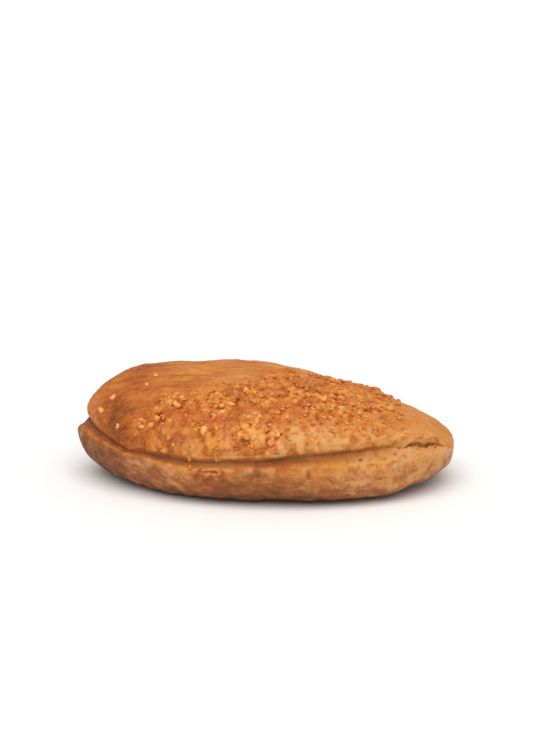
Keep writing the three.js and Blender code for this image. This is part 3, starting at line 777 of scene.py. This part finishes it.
def cheeseRelief(points, angle, row, pleats):
    # melted cheese: cobbles of two sizes, bent out of round by noise, large crumbs and lumps
    degrees = np.degrees(angle) % 360
    below = np.where(degrees < cheeseBand["belowTo"], cheeseBand["belowLeft"], cheeseBand["belowRight"])
    below = below + layered(points, "cheeseEdge") * fade(*cheeseBand["raggedSpan"], degrees)
    cheese = sprinkled(points, angle, row + below)
    bent = points + cheeseBand["bend"] * bendAt(points, 1.7, 31)
    caps, _ = cobblesAt(bent * [1.0, 1.0, 0.8], *crust["cobbles"])
    finerCaps, gap = cobblesAt(bent, *crust["finerCobbles"])
    lumpHeight, lumpPale = lumpsAt(points)
    thick = fade(0, cheeseBand["thickFrom"], cheese + layered(points, "thickness"))
    thick = np.maximum(thick * fade(0, cheeseBand["anyFrom"], cheese), lumpPale)
    edgeLight = inPatch("edgeLight", degrees, row) * (0.6 + 0.5 * pleats)
    # paler on the cobbles' tops, partly as painted highlight
    parts = (1, lumpPale, edgeLight, caps, finerCaps)
    tone = sum(part * share for part, share in zip(parts, cheeseBand["tones"]))
    tone = tone + layered(points, "cheeseTone")
    relief = thick * (caps + finerCaps - crust["cobbleMiddle"] + layered(points, "grit"))
    relief = relief + moundAt(points) + lumpHeight
    # painted shade in the gaps between cobbles, less in the lumps
    shadedGaps = cheeseBand["shadedGaps"] * thick * (1 - cheeseBand["gapsInLumps"] * lumpPale)
    shadedGaps = shadedGaps * fade(cheeseBand["gapWide"], 0, gap)
    return relief, {"thick": thick, "shadedGaps": shadedGaps, "cheeseToneAndLight": tone}


def seamRelief(points, flat, degrees, row, seam, pleats, gathered):
    # pleats and gathers of the rolled edge, lifted and sunken leaves, crest and crease
    look = seamLook
    relief = pleats * (look["pleats"] + look["gatheredPleats"] * gathered)
    relief = relief * between(row, *look["pleatRows"]) * seam
    for name in ("gathered", "rolled", "rough"):
        relief = relief + inPatch(name, degrees, row) * layered(points, name)
    bent = points * [0.6, 0.6, 1.0] + look["leafBend"] * bendAt(points, 2.6, 91)
    _, leafGap, leafOwn = grains(bent, look["leafSize"], 81)
    leaves = look["leaves"] * (leafOwn - 0.5) * fade(0, look["leafEdge"], leafGap)
    relief = relief + leaves * between(row, *look["leafRows"]) * seam
    relief = relief + layered(flat, "side") * between(row, *look["sideRows"])
    crest = layered(flat, "crest") - look["crestSunk"]
    relief = relief + hill(row, look["crestRow"], look["crestWide"]) * seam * crest
    crease = look["crease"] + look["creaseLeft"] * fade(*look["creaseLeftSpan"], points[..., 0])
    crease = crease + layered(points, "creaseDepth")
    return relief + hill(row, 2, look["creaseWide"]) * seam * crease


def tearRelief(points, degrees, row):
    # the torn stretch: a slit between two ragged edges, a shallow stepped pocket under it
    ragged = layered(points, "ragged")
    upper = curveAt(crust["tearUpper"], degrees) + ragged
    lower = curveAt(crust["tearLower"], degrees) + 0.7 * ragged
    pocketLow = curveAt(crust["pocketLow"], degrees) + 1.5 * ragged
    inTear = between(degrees, *crust["tearSpan"])
    slit = fade(-0.02, 0.05, upper - row) * fade(-0.02, 0.05, row - lower) * inTear
    intoPocket = np.clip((row - pocketLow) / (lower - pocketLow + 0.05), 0, 1) * (row < lower + 0.05)
    steps = intoPocket * crust["pocketSteps"]
    leaves = (np.floor(steps) + fade(0, 0.5, steps % 1)) / crust["pocketSteps"]
    pocket = between(degrees, *crust["pocketSpan"]) * fade(0, 0.05, intoPocket) * leaves
    # the slit is deepest along its lower edge and painted dark there as shade, and its upper edge curls up
    slope = np.clip((row - lower) / (upper - lower + 0.03), 0, 1)
    torn = slit * fade(0.3, 0.08, slope)
    curledUp = hill(row - upper, 0.12, 0.12) * inTear * fade(315.4, 317, degrees)
    relief = 0.3 * curledUp - crust["pocketDepth"] * pocket * (1 - slit)
    relief = relief - crust["tearDepth"] * slit * (1 - 0.6 * fade(0.0, 0.6, slope))
    # each pit is sunk and painted dark as shade
    for pitDegrees, pitRow, pitSize in crust["pits"]:
        gap = np.hypot((degrees - pitDegrees) * 0.95, (row - pitRow) * 9) + layered(points, "pit")
        pit = fade(1.0, 0.4, gap / pitSize / 1.2)
        relief = relief - pit
        torn = np.maximum(torn, pit * 0.8)
    inside = np.clip(pocket * 1.3, 0, 1) * (1 - slit) + 0.9 * slit * fade(0.05, 0.3, slope)
    return relief, {"torn": torn, "pocket": inside}


def chipRelief(points, degrees, row):
    # a chipped patch on the side under the seam's middle, with two curled edges of pastry in
    # it, one arched over the other, a hollow between them and a short scar to their right
    (chipDegrees, chipRow), (scarDegrees, scarRow) = crust["chip"], crust["scar"]
    gap = np.hypot((degrees - chipDegrees) / crust["chipWide"], (row - chipRow) / crust["chipHigh"])
    gap = gap + layered(points, "chipOutline")
    chip, chipEdge = fade(1.25, 0.5, gap), hill(gap, 0.95, 0.2)
    across = (degrees - chipDegrees) / crust["curlReach"] + layered(points, "chipAcross")
    archRow = crust["archRow"] - 0.36 * across**2 + layered(points, "archRow")
    spread = fade(1.15, 0.85, np.abs(across))
    curlRow = crust["curlRow"] + layered(points, "curlRow")
    curls = spread * np.maximum(0.8 * hill(row, archRow, 0.07), hill(row, curlRow, 0.065))
    # the hollow under the arched edge is sunk and painted dark in the chip's colour as shade
    hollow = spread * fade(1.2, 1.27, row) * fade(0.0, 0.08, archRow - row)
    aslant = degrees - scarDegrees + 2.5 * (row - scarRow)
    scar = fade(1.3, 0.6, np.hypot(aslant / 0.5, (row - scarRow) / 0.14) + layered(points, "scar"))
    relief = 0.1 * chipEdge - chip * (0.25 + layered(points, "chipFloor"))
    relief = relief + 0.55 * curls - 0.5 * hollow - 0.35 * scar
    return relief, {"chip": chip * (1 - curls) + hollow + scar, "curls": curls, "chipEdge": chipEdge}


def reliefAt(points, angle, row, along, upward):
    # height of the baked surface over the form, in millimetres, and the masks that go with it
    degrees, seam = np.degrees(angle) % 360, sectionAt(angle)["seam"]
    flat = np.stack([along, 0.2 * upward, 0 * along], -1)
    pleats, gathered = layered(flat, "pleats"), inPatch("gathered", degrees, row)
    brush = np.stack([0.16 * points[..., 0] + 0.1 * points[..., 1], points[..., 1], points[..., 2]], -1)
    relief = layered(points, "lumpy") * fade(0, 0.4, row) + layered(brush, "brushed") * fade(3, 3.1, row)
    relief = relief + seamRelief(points, flat, degrees, row, seam, pleats, gathered)
    # the crease mask paints the groove's shade into the crust's colour
    inGroove = between(row, *seamLook["grooveRows"]) * seam * fade(*seamLook["grooveSpan"], points[..., 0])
    masks = {"crease": inGroove * (0.95 + 0.15 * pleats + layered(points, "creaseTone")),
             "pleats": pleats * 0.5 + 0.5, "gathered": gathered}
    cheese = cheeseRelief(points, angle, row, pleats)
    for height, more in (cheese, tearRelief(points, degrees, row), chipRelief(points, degrees, row)):
        relief = relief + height
        masks.update(more)
    return relief, masks


def evenShares(curve, count):
    # shares of a curve, from 0 to 1, that cut it into steps of equal length
    fine = np.linspace(0, 1, 4001)
    points = curve(fine)
    length = np.concatenate([[0], np.cumsum(lengthOf(np.diff(points, axis=0)))])
    return np.interp(np.linspace(0, length[-1], count + 1), length, fine)[1:]


def crustRows(s):
    # rows of points from the middle of the underside, up the belly, lip and roll, over the dome
    middle = {key: np.array([value[crust["frontColumns"] // 2]]) for key, value in s.items()}
    rows, kinds = [], []
    for share in np.linspace(1, 0, crust["underRows"], endpoint=False):
        distance = s["foot"] + (s["footReach"] - s["foot"]) * share
        rows.append(flankPoint(s, distance, 0 * distance))
        kinds.append(-share)
    parts = (
        (bellyPoint, np.linspace(0, 1, crust["bellyRows"])),
        (lipPoint, np.linspace(0, 1, crust["lipRows"] + 1)[1:]),
        (rollPoint, np.linspace(0, 1, crust["rollRows"] + 1)[1:]),
        (domePoint, evenShares(lambda share: domePoint(middle, share), crust["domeRows"])),
    )
    for number, (shape, shares) in enumerate(parts):
        rows += [shape(s, share) for share in shares]
        kinds += [number + share for share in shares]
    return np.array(rows), np.array(kinds)


def slopeNormals(points):
    # the way out of the top where it is nearly level: (-slope along X, -slope along Y, 1)
    x, y, step = points[..., 0], points[..., 1], 0.05
    slopeX = (topHeight(x + step, y) - topHeight(x - step, y)) / (2 * step)
    slopeY = (topHeight(x, y + step) - topHeight(x, y - step)) / (2 * step)
    return unit(np.stack([-slopeX, -slopeY, 1 + 0 * x], -1))


def gridNormals(points, kinds):
    # cross product of the steps round and up the grid; the grid closes on itself round the
    # pie, and along the ridge the front's and the back's normals are added. By the ends of
    # the ridge the two steps are nearly parallel, and the level top's own normals are used
    front, back = crust["frontColumns"], crust["backColumns"]
    around, up = np.roll(points, -1, axis=1) - np.roll(points, 1, axis=1), np.gradient(points, axis=0)
    normals = np.cross(around, up)
    size = lengthOf(normals)[..., None] + 1e-12
    sine = size / (lengthOf(around) * lengthOf(up) + 1e-12)[..., None]
    level = fade(3.7, 3.9, kinds)[:, None, None] * fade(0.35, 0.1, sine)
    normals = unit(mix(normals / size, slopeNormals(points), level))
    normals[0] = (0, 0, -1)
    ridgeFront = normals[-2][:front + 1]
    behind = np.concatenate([normals[-2][front:], normals[-2][:1]])[::-1]
    places = np.linspace(0, back, front + 1)
    ridgeBack = np.stack([np.interp(places, np.arange(back + 1), behind[:, k]) for k in range(3)], -1)
    normals[-1, :front + 1] = unit(ridgeFront + ridgeBack)
    return normals


def gridFaces(rowsCount, closeFirst, closeLast):
    # quads round and up the grid. The front has twice the back's columns, so where the two
    # meet in a line, each face of the back takes three of the line's points
    front, back = crust["frontColumns"], crust["backColumns"]
    columns = front + back
    index = np.arange(rowsCount * columns).reshape(rowsCount, columns)
    first, last = (1 if closeFirst else 0), (rowsCount - 2 if closeLast else rowsCount - 1)
    a, b = index[first:last], np.roll(index, -1, axis=1)[first:last]
    c, d = np.roll(index, -1, axis=1)[first + 1:last + 1], index[first + 1:last + 1]
    faces = np.stack([a, b, c, d], -1).reshape(-1, 4).tolist()
    k, j = np.arange(front), np.arange(back)
    behind, beyond = front + j, (front + j + 1) % columns
    if closeFirst:
        faces += np.stack([index[0, k], index[0, k + 1], index[1, k + 1], index[1, k]], -1).tolist()
        line = [index[0, front - 2 * j], index[0, front - 2 * j - 1], index[0, front - 2 * j - 2]]
        faces += np.stack(line + [index[1, beyond], index[1, behind]], -1).tolist()
    if closeLast:
        low, top = index[-2], index[-1]
        faces += np.stack([low[k], low[k + 1], top[k + 1], top[k]], -1).tolist()
        line = [top[front - 2 * j - 2], top[front - 2 * j - 1], top[front - 2 * j]]
        faces += np.stack([low[behind], low[beyond]] + line, -1).tolist()
    return faces


everywhere = (-1001, -1000)  # a span that every place lies past

browning = {
    # how far the crust is browned all over, and more or less of it by place: the amount, then
    # where it starts and is full, in millimetres along X and in rows
    "level": 0.48,
    "places": [(0.11, (-15, -40), (3.2, 3.5)), (0.1, (-40, -80), everywhere), (-0.12, (-20, 40), (2.6, 3.1)),
               (-0.25, (20, 75), (2.3, 2.0))],
    # the same for named stretches, and for lines along the seam: amount, row, width and X. The second line
    # darkens the bottom of the groove as painted shade
    "stretches": [("ledge", -0.15), ("rough", -0.24)],
    "lines": [(0.05, 1.45, 0.25, everywhere), (0.25, 1.9, 0.25, (60, 20))],
    # browned at the front's left, and paler at the chip, in the strip, on pleats and at the tip; on the
    # pleats and the roll's front the paleness follows the pleats' ridges as painted highlight
    "left": 0.27, "leftSpan": (-74, -58, -40, -12), "leftRows": (1.9, 2.0, 3.1, 3.45),
    "chipEdge": 0.1, "strip": 0.16, "stripSpan": (288, 297, 315, 324),
    "gathered": 0.12, "pleats": 0.35, "pleatMiddle": 0.4, "rollFront": 0.5,
    "tip": 0.35, "tipSpan": (-79.5, -82), "tipRows": (1.6, 1.2),
    # pale dabs along the crest, on the ledge, in the strip and on pleats: painted highlight along the crest
    # and on the pleats' ridges, pale mottling on the ledge and in the strip; how much paler they bake, and
    # from which value of their noise or pleat to which they show
    "crestDabs": 0.8, "crestRow": 1.42, "crestWide": 0.2, "crestSpan": (222, 240, 340, 352),
    "ledgeDabs": 0.15, "stripDabs": 0.4, "pleatDabs": 0.6, "dabsPaler": 0.2,
    "crestDabsFrom": (-0.2, 0.5), "stripDabsFrom": (-0.4, 0.5), "pleatDabsFrom": (0.4, 0.8),
    # the side's own tones, darker partly as painted shade: the rows between which they start, how much of
    # them the tip loses, the pale stretches along X, the dark foot, burnt crust and painted shade, and how
    # low the side darkens
    "underRows": (1.5, 0.95), "tipUnder": 0.7, "sideSpan": (-64, -48, -32, -10),
    "sideRight": 0.9, "sideRightSpan": (5, 50), "footRows": (0.8, 0.15), "lowRows": (1.5, 0.5),
}


def browningAt(points, degrees, row, s, masks):
    # how far each spot is browned, with painted shade in the groove and painted highlight on the pleats, the
    # pale dabs and painted highlights near the crest, and where the side's own tones and painted shade lie
    look, x, seam = browning, points[..., 0], s["seam"]
    pleats, gathered, strip = masks["pleats"], masks["gathered"], inPatch("strip", degrees, row)
    bake = look["level"] + layered(points, "browning")
    for amount, along, upwards in look["places"]:
        bake = bake + amount * fade(*along, x) * fade(*upwards, row)
    for name, amount in look["stretches"]:
        bake = bake + amount * inPatch(name, degrees, row)
    for amount, middle, width, along in look["lines"]:
        bake = bake + amount * hill(row, middle, width) * seam * fade(*along, x)
    spots = layered(points * [0.6, 0.6, 1.0], "mottled") + layered(points, "finelyMottled")
    bake = bake + inPatch("mottled", degrees, row) * spots - look["chipEdge"] * masks["chipEdge"]
    atLeft = between(x, *look["leftSpan"]) * between(row, *look["leftRows"]) * s["front"]
    bake = bake + (look["left"] + layered(points, "leftBrowning")) * atLeft
    paleStrip = look["strip"] * between(degrees, *look["stripSpan"])
    bake = bake - strip * (layered(points, "strip") + paleStrip)
    bake = bake - gathered * (look["gathered"] + look["pleats"] * (pleats - look["pleatMiddle"]))
    rolled = inPatch("rollFront", degrees, row) * (pleats + layered(points, "rollFront"))
    tip = fade(*look["tipSpan"], x) * fade(*look["tipRows"], row)
    crestLine = hill(row + layered(points, "crestRow"), look["crestRow"], look["crestWide"])
    crestLine = crestLine * between(degrees, *look["crestSpan"])
    paleDabsAndHighlights = look["crestDabs"] * crestLine * fade(*look["crestDabsFrom"], layered(points, "paleDabsAndHighlights"))
    paleDabsAndHighlights = paleDabsAndHighlights + look["ledgeDabs"] * inPatch("rightLedge", degrees, row)
    bake = bake - look["rollFront"] * rolled - look["tip"] * tip - look["dabsPaler"] * paleDabsAndHighlights
    paleDabsAndHighlights = paleDabsAndHighlights + look["stripDabs"] * strip * fade(*look["stripDabsFrom"], layered(points, "stripDabs"))
    paleDabsAndHighlights = paleDabsAndHighlights + look["pleatDabs"] * gathered * fade(*look["pleatDabsFrom"], pleats)
    under = (1 - look["tipUnder"] * tip) * fade(*look["underRows"], row + layered(points, "under"))
    sidePale = between(x, *look["sideSpan"]) + look["sideRight"] * fade(*look["sideRightSpan"], x)
    return {
        "bake": bake, "under": under, "paleDabsAndHighlights": paleDabsAndHighlights * (1 - masks["torn"]), "sidePale": sidePale,
        "foot": fade(*look["footRows"], row + layered(points, "foot")),
        "lowBrowningAndShade": fade(*look["lowRows"], row),
    }


def makeSheet(name, points, masks, wrap, rows, closeFirst, closeLast, material):
    # one of the two sheets: the grid's rows that it takes, closed at its first or last row
    points, wrap = points[rows], wrap[rows]
    faces = gridFaces(len(points), closeFirst, closeLast)
    used = np.unique(np.fromiter((corner for face in faces for corner in face), int))
    renumbered = np.full(points.shape[0] * points.shape[1], -1)
    renumbered[used] = np.arange(len(used))
    faces = [renumbered[face].tolist() for face in faces]
    piece = makePiece(name, points.reshape(-1, 3)[used], faces, material)
    for label in crustMasks:
        addMask(piece, label, np.clip(masks[label][rows], 0, 1).reshape(-1)[used])
    layer = piece.data.attributes.new("wrap", "FLOAT_VECTOR", "POINT")
    layer.data.foreach_set("vector", wrap.reshape(-1, 3)[used].astype(np.float32).ravel())
    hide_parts("cheese_pie")


def makeCrust(material):
    front, back = crust["frontColumns"], crust["backColumns"]
    angle = np.concatenate([np.pi + np.arange(front) / front * np.pi, np.arange(back) / back * np.pi])
    s = sectionAt(angle)
    points, kinds = crustRows(s)
    normals = gridNormals(points, kinds)
    row, angles = np.broadcast_arrays(kinds[:, None], angle[None, :])
    # distances along the surface, measured from the left end, so that they jump at the back's
    # middle, and up from the widest line
    widestRow, seamRow = (int(np.argmin(np.abs(kinds - k))) for k in (1, 2))
    widest = points[widestRow]
    along = np.cumsum(np.linalg.norm(widest - np.roll(widest, 1, axis=0), axis=1))
    along = along - along[-1] * (np.arange(len(along)) > front + back // 2)
    along = np.broadcast_to(along, row.shape)
    upward = np.cumsum(np.linalg.norm(np.diff(points, axis=0, prepend=points[:1]), axis=2), axis=0)
    upward = upward - upward[widestRow]
    relief, masks = reliefAt(points, angles, row, along, upward)
    masks.update(browningAt(points, np.degrees(angles) % 360, row, s, masks))
    moved = insideBox(points + normals * (relief * (row > 0))[..., None])
    wrap = np.stack([along, upward, 0 * upward], -1) * mm
    makeSheet("bottomSheet", moved, masks, wrap, slice(0, seamRow + 1), True, False, material)
    makeSheet("topSheet", moved, masks, wrap, slice(seamRow, None), False, True, material)


makeCrust(crustMaterial())
print("stage: crust made")


def blobShape(level):
    # the points and triangles of a sphere made of equal triangles
    mesh = bmesh.new()
    bmesh.ops.create_icosphere(mesh, subdivisions=level, radius=1)
    points = np.array([v.co[:] for v in mesh.verts])
    faces = np.array([[v.index for v in f.verts] for f in mesh.faces])
    mesh.free()
    return points, faces


def makeCrumbs(name, places, material, level, roughness, sink):
    # each crumb is a sphere pushed in and out by noise of its own, flattened, turned about
    # the way out of the crust and set on its surface
    angle, row, length, narrow, flat, turn, tone = (np.array(v, float) for v in zip(*places))
    shape, triangles = blobShape(level)
    here, out, around, _ = formFrame(angle, row)
    relief, _ = reliefAt(here, angle, row, 0 * angle, 0 * angle)
    third = np.cross(out, around)
    item = np.arange(len(places))
    bulge = 1 + roughness * layered(shape[None] + (item * 7.31)[:, None, None], "crumb")
    size = np.stack([length, length * narrow, length * flat], -1)[:, None] / 2
    local = shape[None] * bulge[..., None] * size
    c, w = np.cos(turn)[:, None], np.sin(turn)[:, None]
    flatX, flatY = local[..., 0] * c - local[..., 1] * w, local[..., 0] * w + local[..., 1] * c
    lift = (np.clip(relief, *crumbs["restsOn"]) + length * flat * sink)[:, None, None]
    placed = here[:, None] + flatX[..., None] * around[:, None] + flatY[..., None] * third[:, None]
    placed = insideBox(placed + (local[..., 2:] + lift) * out[:, None])
    faces = (triangles[None] + (item * len(shape))[:, None, None]).reshape(-1, 3)
    piece = makePiece(name, placed.reshape(-1, 3), faces.tolist(), material)
    addMask(piece, "tone", np.repeat(tone, len(shape)))
    # top: how far each point faces away from the crust, for the crumb's painted highlight on top and painted
    # shade beneath
    addMask(piece, "top", np.clip(shape[:, 2] * 0.5 + 0.5, 0, 1)[None].repeat(len(places), 0))


def scatteredPlaces(count, lengths, seed, crowding):
    # items thrown over the dome and kept by how thickly their place was sprinkled
    item = np.arange(count * 12) + seed * 100000
    angle, row = 1.99 * np.pi * draw(item, 7), 2.97 + 1.02 * draw(item, 8)
    here, _, _, area = formFrame(angle, row)
    chance = sprinkled(here, angle, row) ** crowding * area / crumbs["scatteredArea"]
    keep = np.flatnonzero(draw(item, 9) < chance)[:count]
    item, angle, row, clumped = item[keep], angle[keep], row[keep], clumpedAt(here[keep])
    length = mix(*lengths, draw(item, 11) ** 2 * (0.5 + 0.5 * clumped))
    return list(zip(angle, row, length, 0.45 + 0.45 * draw(item, 5), 0.5 + 0.3 * draw(item, 12),
                    draw(item, 6) * np.pi, 0.6 * draw(item, 10) + 0.3 * clumped))


def chipPlaces():
    # along the chip's two curled edges: the arched one and the nearly straight one
    item = np.arange(crumbs["chipCount"]) + 500
    place = draw(item, 1) * 2 - 1
    angle = np.radians(crust["chip"][0] + 3 * place)
    row = np.where(draw(item, 2) < 0.5, 1.52 - 0.34 * place**2, crust["curlRow"])
    return list(zip(angle, row, 0.8 + 0.9 * draw(item, 3), 0.5 + 0.3 * draw(item, 4), 0.45 + 0 * item,
                    0.7 * draw(item, 5) - 0.35, 0.15 + 0.4 * draw(item, 6)))


def crumbMaterial():
    material, shader, place = newMaterial("bakedCheese")
    tone, top = (readMask(shader.id_data, name) for name in ("tone", "top"))
    patchy = placeGroup(mottling, place, crumbs["patchy"])
    # paler by each crumb's tone, paler towards its top and darker beneath as painted light from above, and in
    # patches
    paler = addUp(times(tone, 0.7), aboutMiddle(top, 0.55, 0.6), aboutMiddle(patchy, 0.5))
    colour = addRamp(paler, 0.0, crumbs["brown"], 0.5, crumbs["orange"], 1.0, crumbs["pale"])
    toasted = placeGroup(specks, place, crumbs["toasted"])
    colour = blendColour(times(toasted, 0.45), colour, fromScreen(*crumbs["brown"]))
    finishMaterial(shader, crumbs, colour, crumbs["roughness"], placeGroup(grain, place, crumbs["grain"]))
    return material


def makeCheese():
    material = crumbMaterial()
    places = largeCrumbs + [(math.radians(degrees), row, length, 0.5, 0.45, turn, 0.36)
                            for degrees, row, length, turn in crumbs["hanging"]]
    places += [(math.radians(degrees), row, length, 0.7, 0.5, 0.6 + k, 0.35)
               for k, (degrees, row, length) in enumerate(crumbs["byTear"])]
    makeCrumbs("largeCrumbs", places + chipPlaces(), material, 3, 0.45, 0.0)
    for name, count, lengths, seed, crowding, level, roughness, sink in crumbs["scattered"]:
        makeCrumbs(name, scatteredPlaces(count, lengths, seed, crowding), material, level, roughness, sink)


makeCheese()
print("stage: cheese made")

flakes = {
    # thin torn edges of pastry layers: degrees from and to, the curve of rows that the root
    # follows or one row, rows added to it, the way it points (1 up, -1 down), reach and lift
    "edges": [
        (318, 341, "tearUpper", 0.06, -1, 0.3, 0.8), (322, 340.5, "tearUpper", 0.16, -1, 0.45, 0.4),
        (326, 338, "tearUpper", 0.26, -1, 0.6, 0.3), (320, 340, "tearLower", -0.08, 1, 0.35, 0.3),
        (324, 337, "pocketLow", 0.12, 1, 0.7, 0.3), (323.5, 337, "pocketLow", 0.02, 1, 0.8, 0.22),
        (325, 334, "pocketLow", -0.1, 1, 0.8, 0.12), (335, 345, 1.75, 0.0, 1, 0.8, 0.12),
        (341, 347, 2.3, 0.0, -1, 0.9, 0.12), (313.5, 317, 1.8, 0.0, 1, 0.6, 0.4),
        (301.5, 304, 1.76, 0.0, 1, 0.5, 0.4), (253.8, 260.8, 1.56, 0.0, -1, 0.7, 0.2),
    ],
    "thickness": 0.24, "perDegree": 6, "steps": 6, "restsOn": (-0.5, 0.8), "endLength": 1.5,
    "pale": (240, 186, 108), "gold": (224, 148, 68), "brown": (184, 100, 40),
    "patchy": {"Broad Scale": 200.0, "Fine Scale": 800.0, "Fine Share": 0.4, "Contrast": 1.8},
    "fibres": {"Squeeze": (0.25, 1.0, 1.0), "Scale": 700.0, "Contrast": 1.6},
    "grain": {"Broad Scale": 700.0, "Fine Scale": 2200.0, "Fine Share": 0.4},
    "roughness": 0.55, "specular": 0.25, "bumpStrength": 0.5, "bumpDistance": 0.0003,
}


def flakeEdge(number, start, end, curve, rowsAdded, way, reach, lift):
    # one long leaf: its root lies on the crust, its free edge is ragged and bends away from it,
    # and both its ends run out to nothing
    count, steps = int((end - start) * flakes["perDegree"]), flakes["steps"]
    degrees = np.linspace(start, end, count)
    place = np.stack([degrees * 1.1, 0 * degrees + number * 17.3, 0 * degrees], -1)
    row = (curveAt(crust[curve], degrees) if isinstance(curve, str) else curve + 0 * degrees) + rowsAdded
    row, angle = row + layered(place, "leafRow"), np.radians(degrees)
    here, out, around, _ = formFrame(angle, row)
    relief, _ = reliefAt(here, angle, row, 0 * angle, 0 * angle)
    ends = np.clip(np.minimum(degrees - start, end - degrees) / flakes["endLength"], 0, 1) ** 0.6
    v = np.linspace(0, 1, steps)[:, None]
    bend = lift * (0.7 + layered(place, "leafBend")) * (0.2 + 0.8 * v)
    along = reach * np.clip(0.75 + layered(place, "leafEdge"), 0.12, 2) * ends * v
    layer = np.stack([place[:, 0] + 0 * v, place[:, 1] + 0 * v, 3 * v + 0 * degrees], -1)
    rise = along * bend + ends * layered(layer, "leafWaves")
    root = np.clip(relief, *flakes["restsOn"]) + 0.03
    middle = here + (way * along)[..., None] * np.cross(out, around)
    half = flakes["thickness"] / 2 * (1.2 - 0.8 * v)
    points = [(middle + (root + rise + side * half)[..., None] * out).reshape(-1, 3) for side in (1, -1)]
    grid = np.arange(steps * count).reshape(steps, count)
    upper = np.stack([grid[:-1, :-1], grid[:-1, 1:], grid[1:, 1:], grid[1:, :-1]], -1).reshape(-1, 4)
    rim = np.concatenate([grid[0, :-1], grid[:-1, -1], grid[-1, :0:-1], grid[:0:-1, 0]])
    after = np.roll(rim, -1)
    around = np.stack([rim, rim + grid.size, after + grid.size, after], -1)
    faces = np.concatenate([upper, upper[:, ::-1] + grid.size, around])
    tone = np.tile(0.5 + layered(place, "leafTone"), 2 * steps)
    return np.concatenate(points), faces[:, ::way], tone, np.tile(np.repeat(v[:, 0], count), 2)


def makeFlakes(material):
    edges = [flakeEdge(number, *edge) for number, edge in enumerate(flakes["edges"])]
    starts = np.cumsum([0] + [len(points) for points, _, _, _ in edges])
    faces = np.concatenate([edge[1] + start for edge, start in zip(edges, starts)])
    placed, tones, tops = (np.concatenate([edge[k] for edge in edges]) for k in (0, 2, 3))
    piece = makePiece("pastryFlakes", insideBox(placed), faces.tolist(), material)
    addMask(piece, "tone", tones)
    addMask(piece, "top", tops)


def flakeMaterial():
    material, shader, place = newMaterial("pastryLeaf")
    tone, top = (readMask(shader.id_data, name) for name in ("tone", "top"))
    patchy = placeGroup(mottling, place, flakes["patchy"])
    fibres = placeGroup(streaks, place, flakes["fibres"])
    paler = addUp(times(tone, 0.55), times(top, 0.35), aboutMiddle(patchy, 0.5))
    paler = addUp(paler, aboutMiddle(fibres, 0.3))
    colour = addRamp(paler, 0.0, flakes["brown"], 0.45, flakes["gold"], 1.0, flakes["pale"])
    finishMaterial(shader, flakes, colour, flakes["roughness"], placeGroup(grain, place, flakes["grain"]))
    return material


makeFlakes(flakeMaterial())
print("stage: flakes made")

studio = {
    "floorPale": (247, 247, 247), "floorGrey": (246, 246, 246), "worldStrength": 0.55,
    # one broad light from above, a little to the front: direction, softness, strength
    "keyFrom": (0.0, -0.42, 0.9), "keyAngle": math.radians(70), "keyStrength": 2.05,
    # the camera's angle and where the pie stands in the picture, 550 by 730
    "azimuth": 5.0, "elevation": 17.1, "distance": 0.85, "pixelsPerMm": 2.27, "lookHeight": 20.0,
    "pictureX": 260.9, "pictureY": 431.85, "pictureWide": 550, "pictureHigh": 730,
}


def makeFloor():
    material, shader, place = newMaterial("paleFloor")
    tone = addRamp(addNoise(place, 3.0, 2.0, 0.5), 0.3, studio["floorPale"], 0.7, studio["floorGrey"])
    setInputs(shader, {"Base Color": tone, "Roughness": 0.9, "Specular IOR Level": 0.1})
    mesh = bpy.data.meshes.new("floor")
    mesh.from_pydata([(-6, -6, 0), (6, -6, 0), (6, 6, 0), (-6, 6, 0)], [], [(0, 1, 2, 3)])
    mesh.materials.append(material)
    addObject("floor", mesh)


def makeLight():
    light = bpy.data.lights.new("keyLight", "SUN")
    light.angle, light.energy = studio["keyAngle"], studio["keyStrength"]
    addObject("keyLight", light).rotation_euler = Vector(studio["keyFrom"]).to_track_quat("Z", "Y").to_euler()


def makeStudio():
    makeFloor()
    makeLight()
    world = bpy.data.worlds.new("paleRoom")
    world.use_nodes = True
    world.node_tree.nodes["Background"].inputs[0].default_value = (1.0, 0.99, 0.97, 1.0)
    world.node_tree.nodes["Background"].inputs[1].default_value = studio["worldStrength"]
    bpy.context.scene.world = world
    bpy.context.scene.view_settings.view_transform = "Standard"


def makeCamera():
    camera = bpy.data.cameras.new("camera")
    high = studio["pictureHigh"]
    camera.sensor_width = 36
    camera.lens = studio["pixelsPerMm"] * studio["distance"] / mm * camera.sensor_width / high
    camera.shift_x = (studio["pictureWide"] / 2 - studio["pictureX"]) / high
    camera.shift_y = (studio["pictureY"] - high / 2) / high
    camera.clip_start, camera.clip_end = 0.01, 50
    e, a = math.radians(studio["elevation"]), math.radians(studio["azimuth"])
    target = Vector(((formShift + (0, 0, studio["lookHeight"])) * mm).tolist())
    back = Vector((math.sin(a) * math.cos(e), -math.cos(a) * math.cos(e), math.sin(e)))
    view = addObject("camera", camera)
    view.location = target + back * studio["distance"]
    view.rotation_euler = back.to_track_quat("Z", "Y").to_euler()
    bpy.context.scene.camera = view


makeStudio()
makeCamera()
print("stage: studio ready")
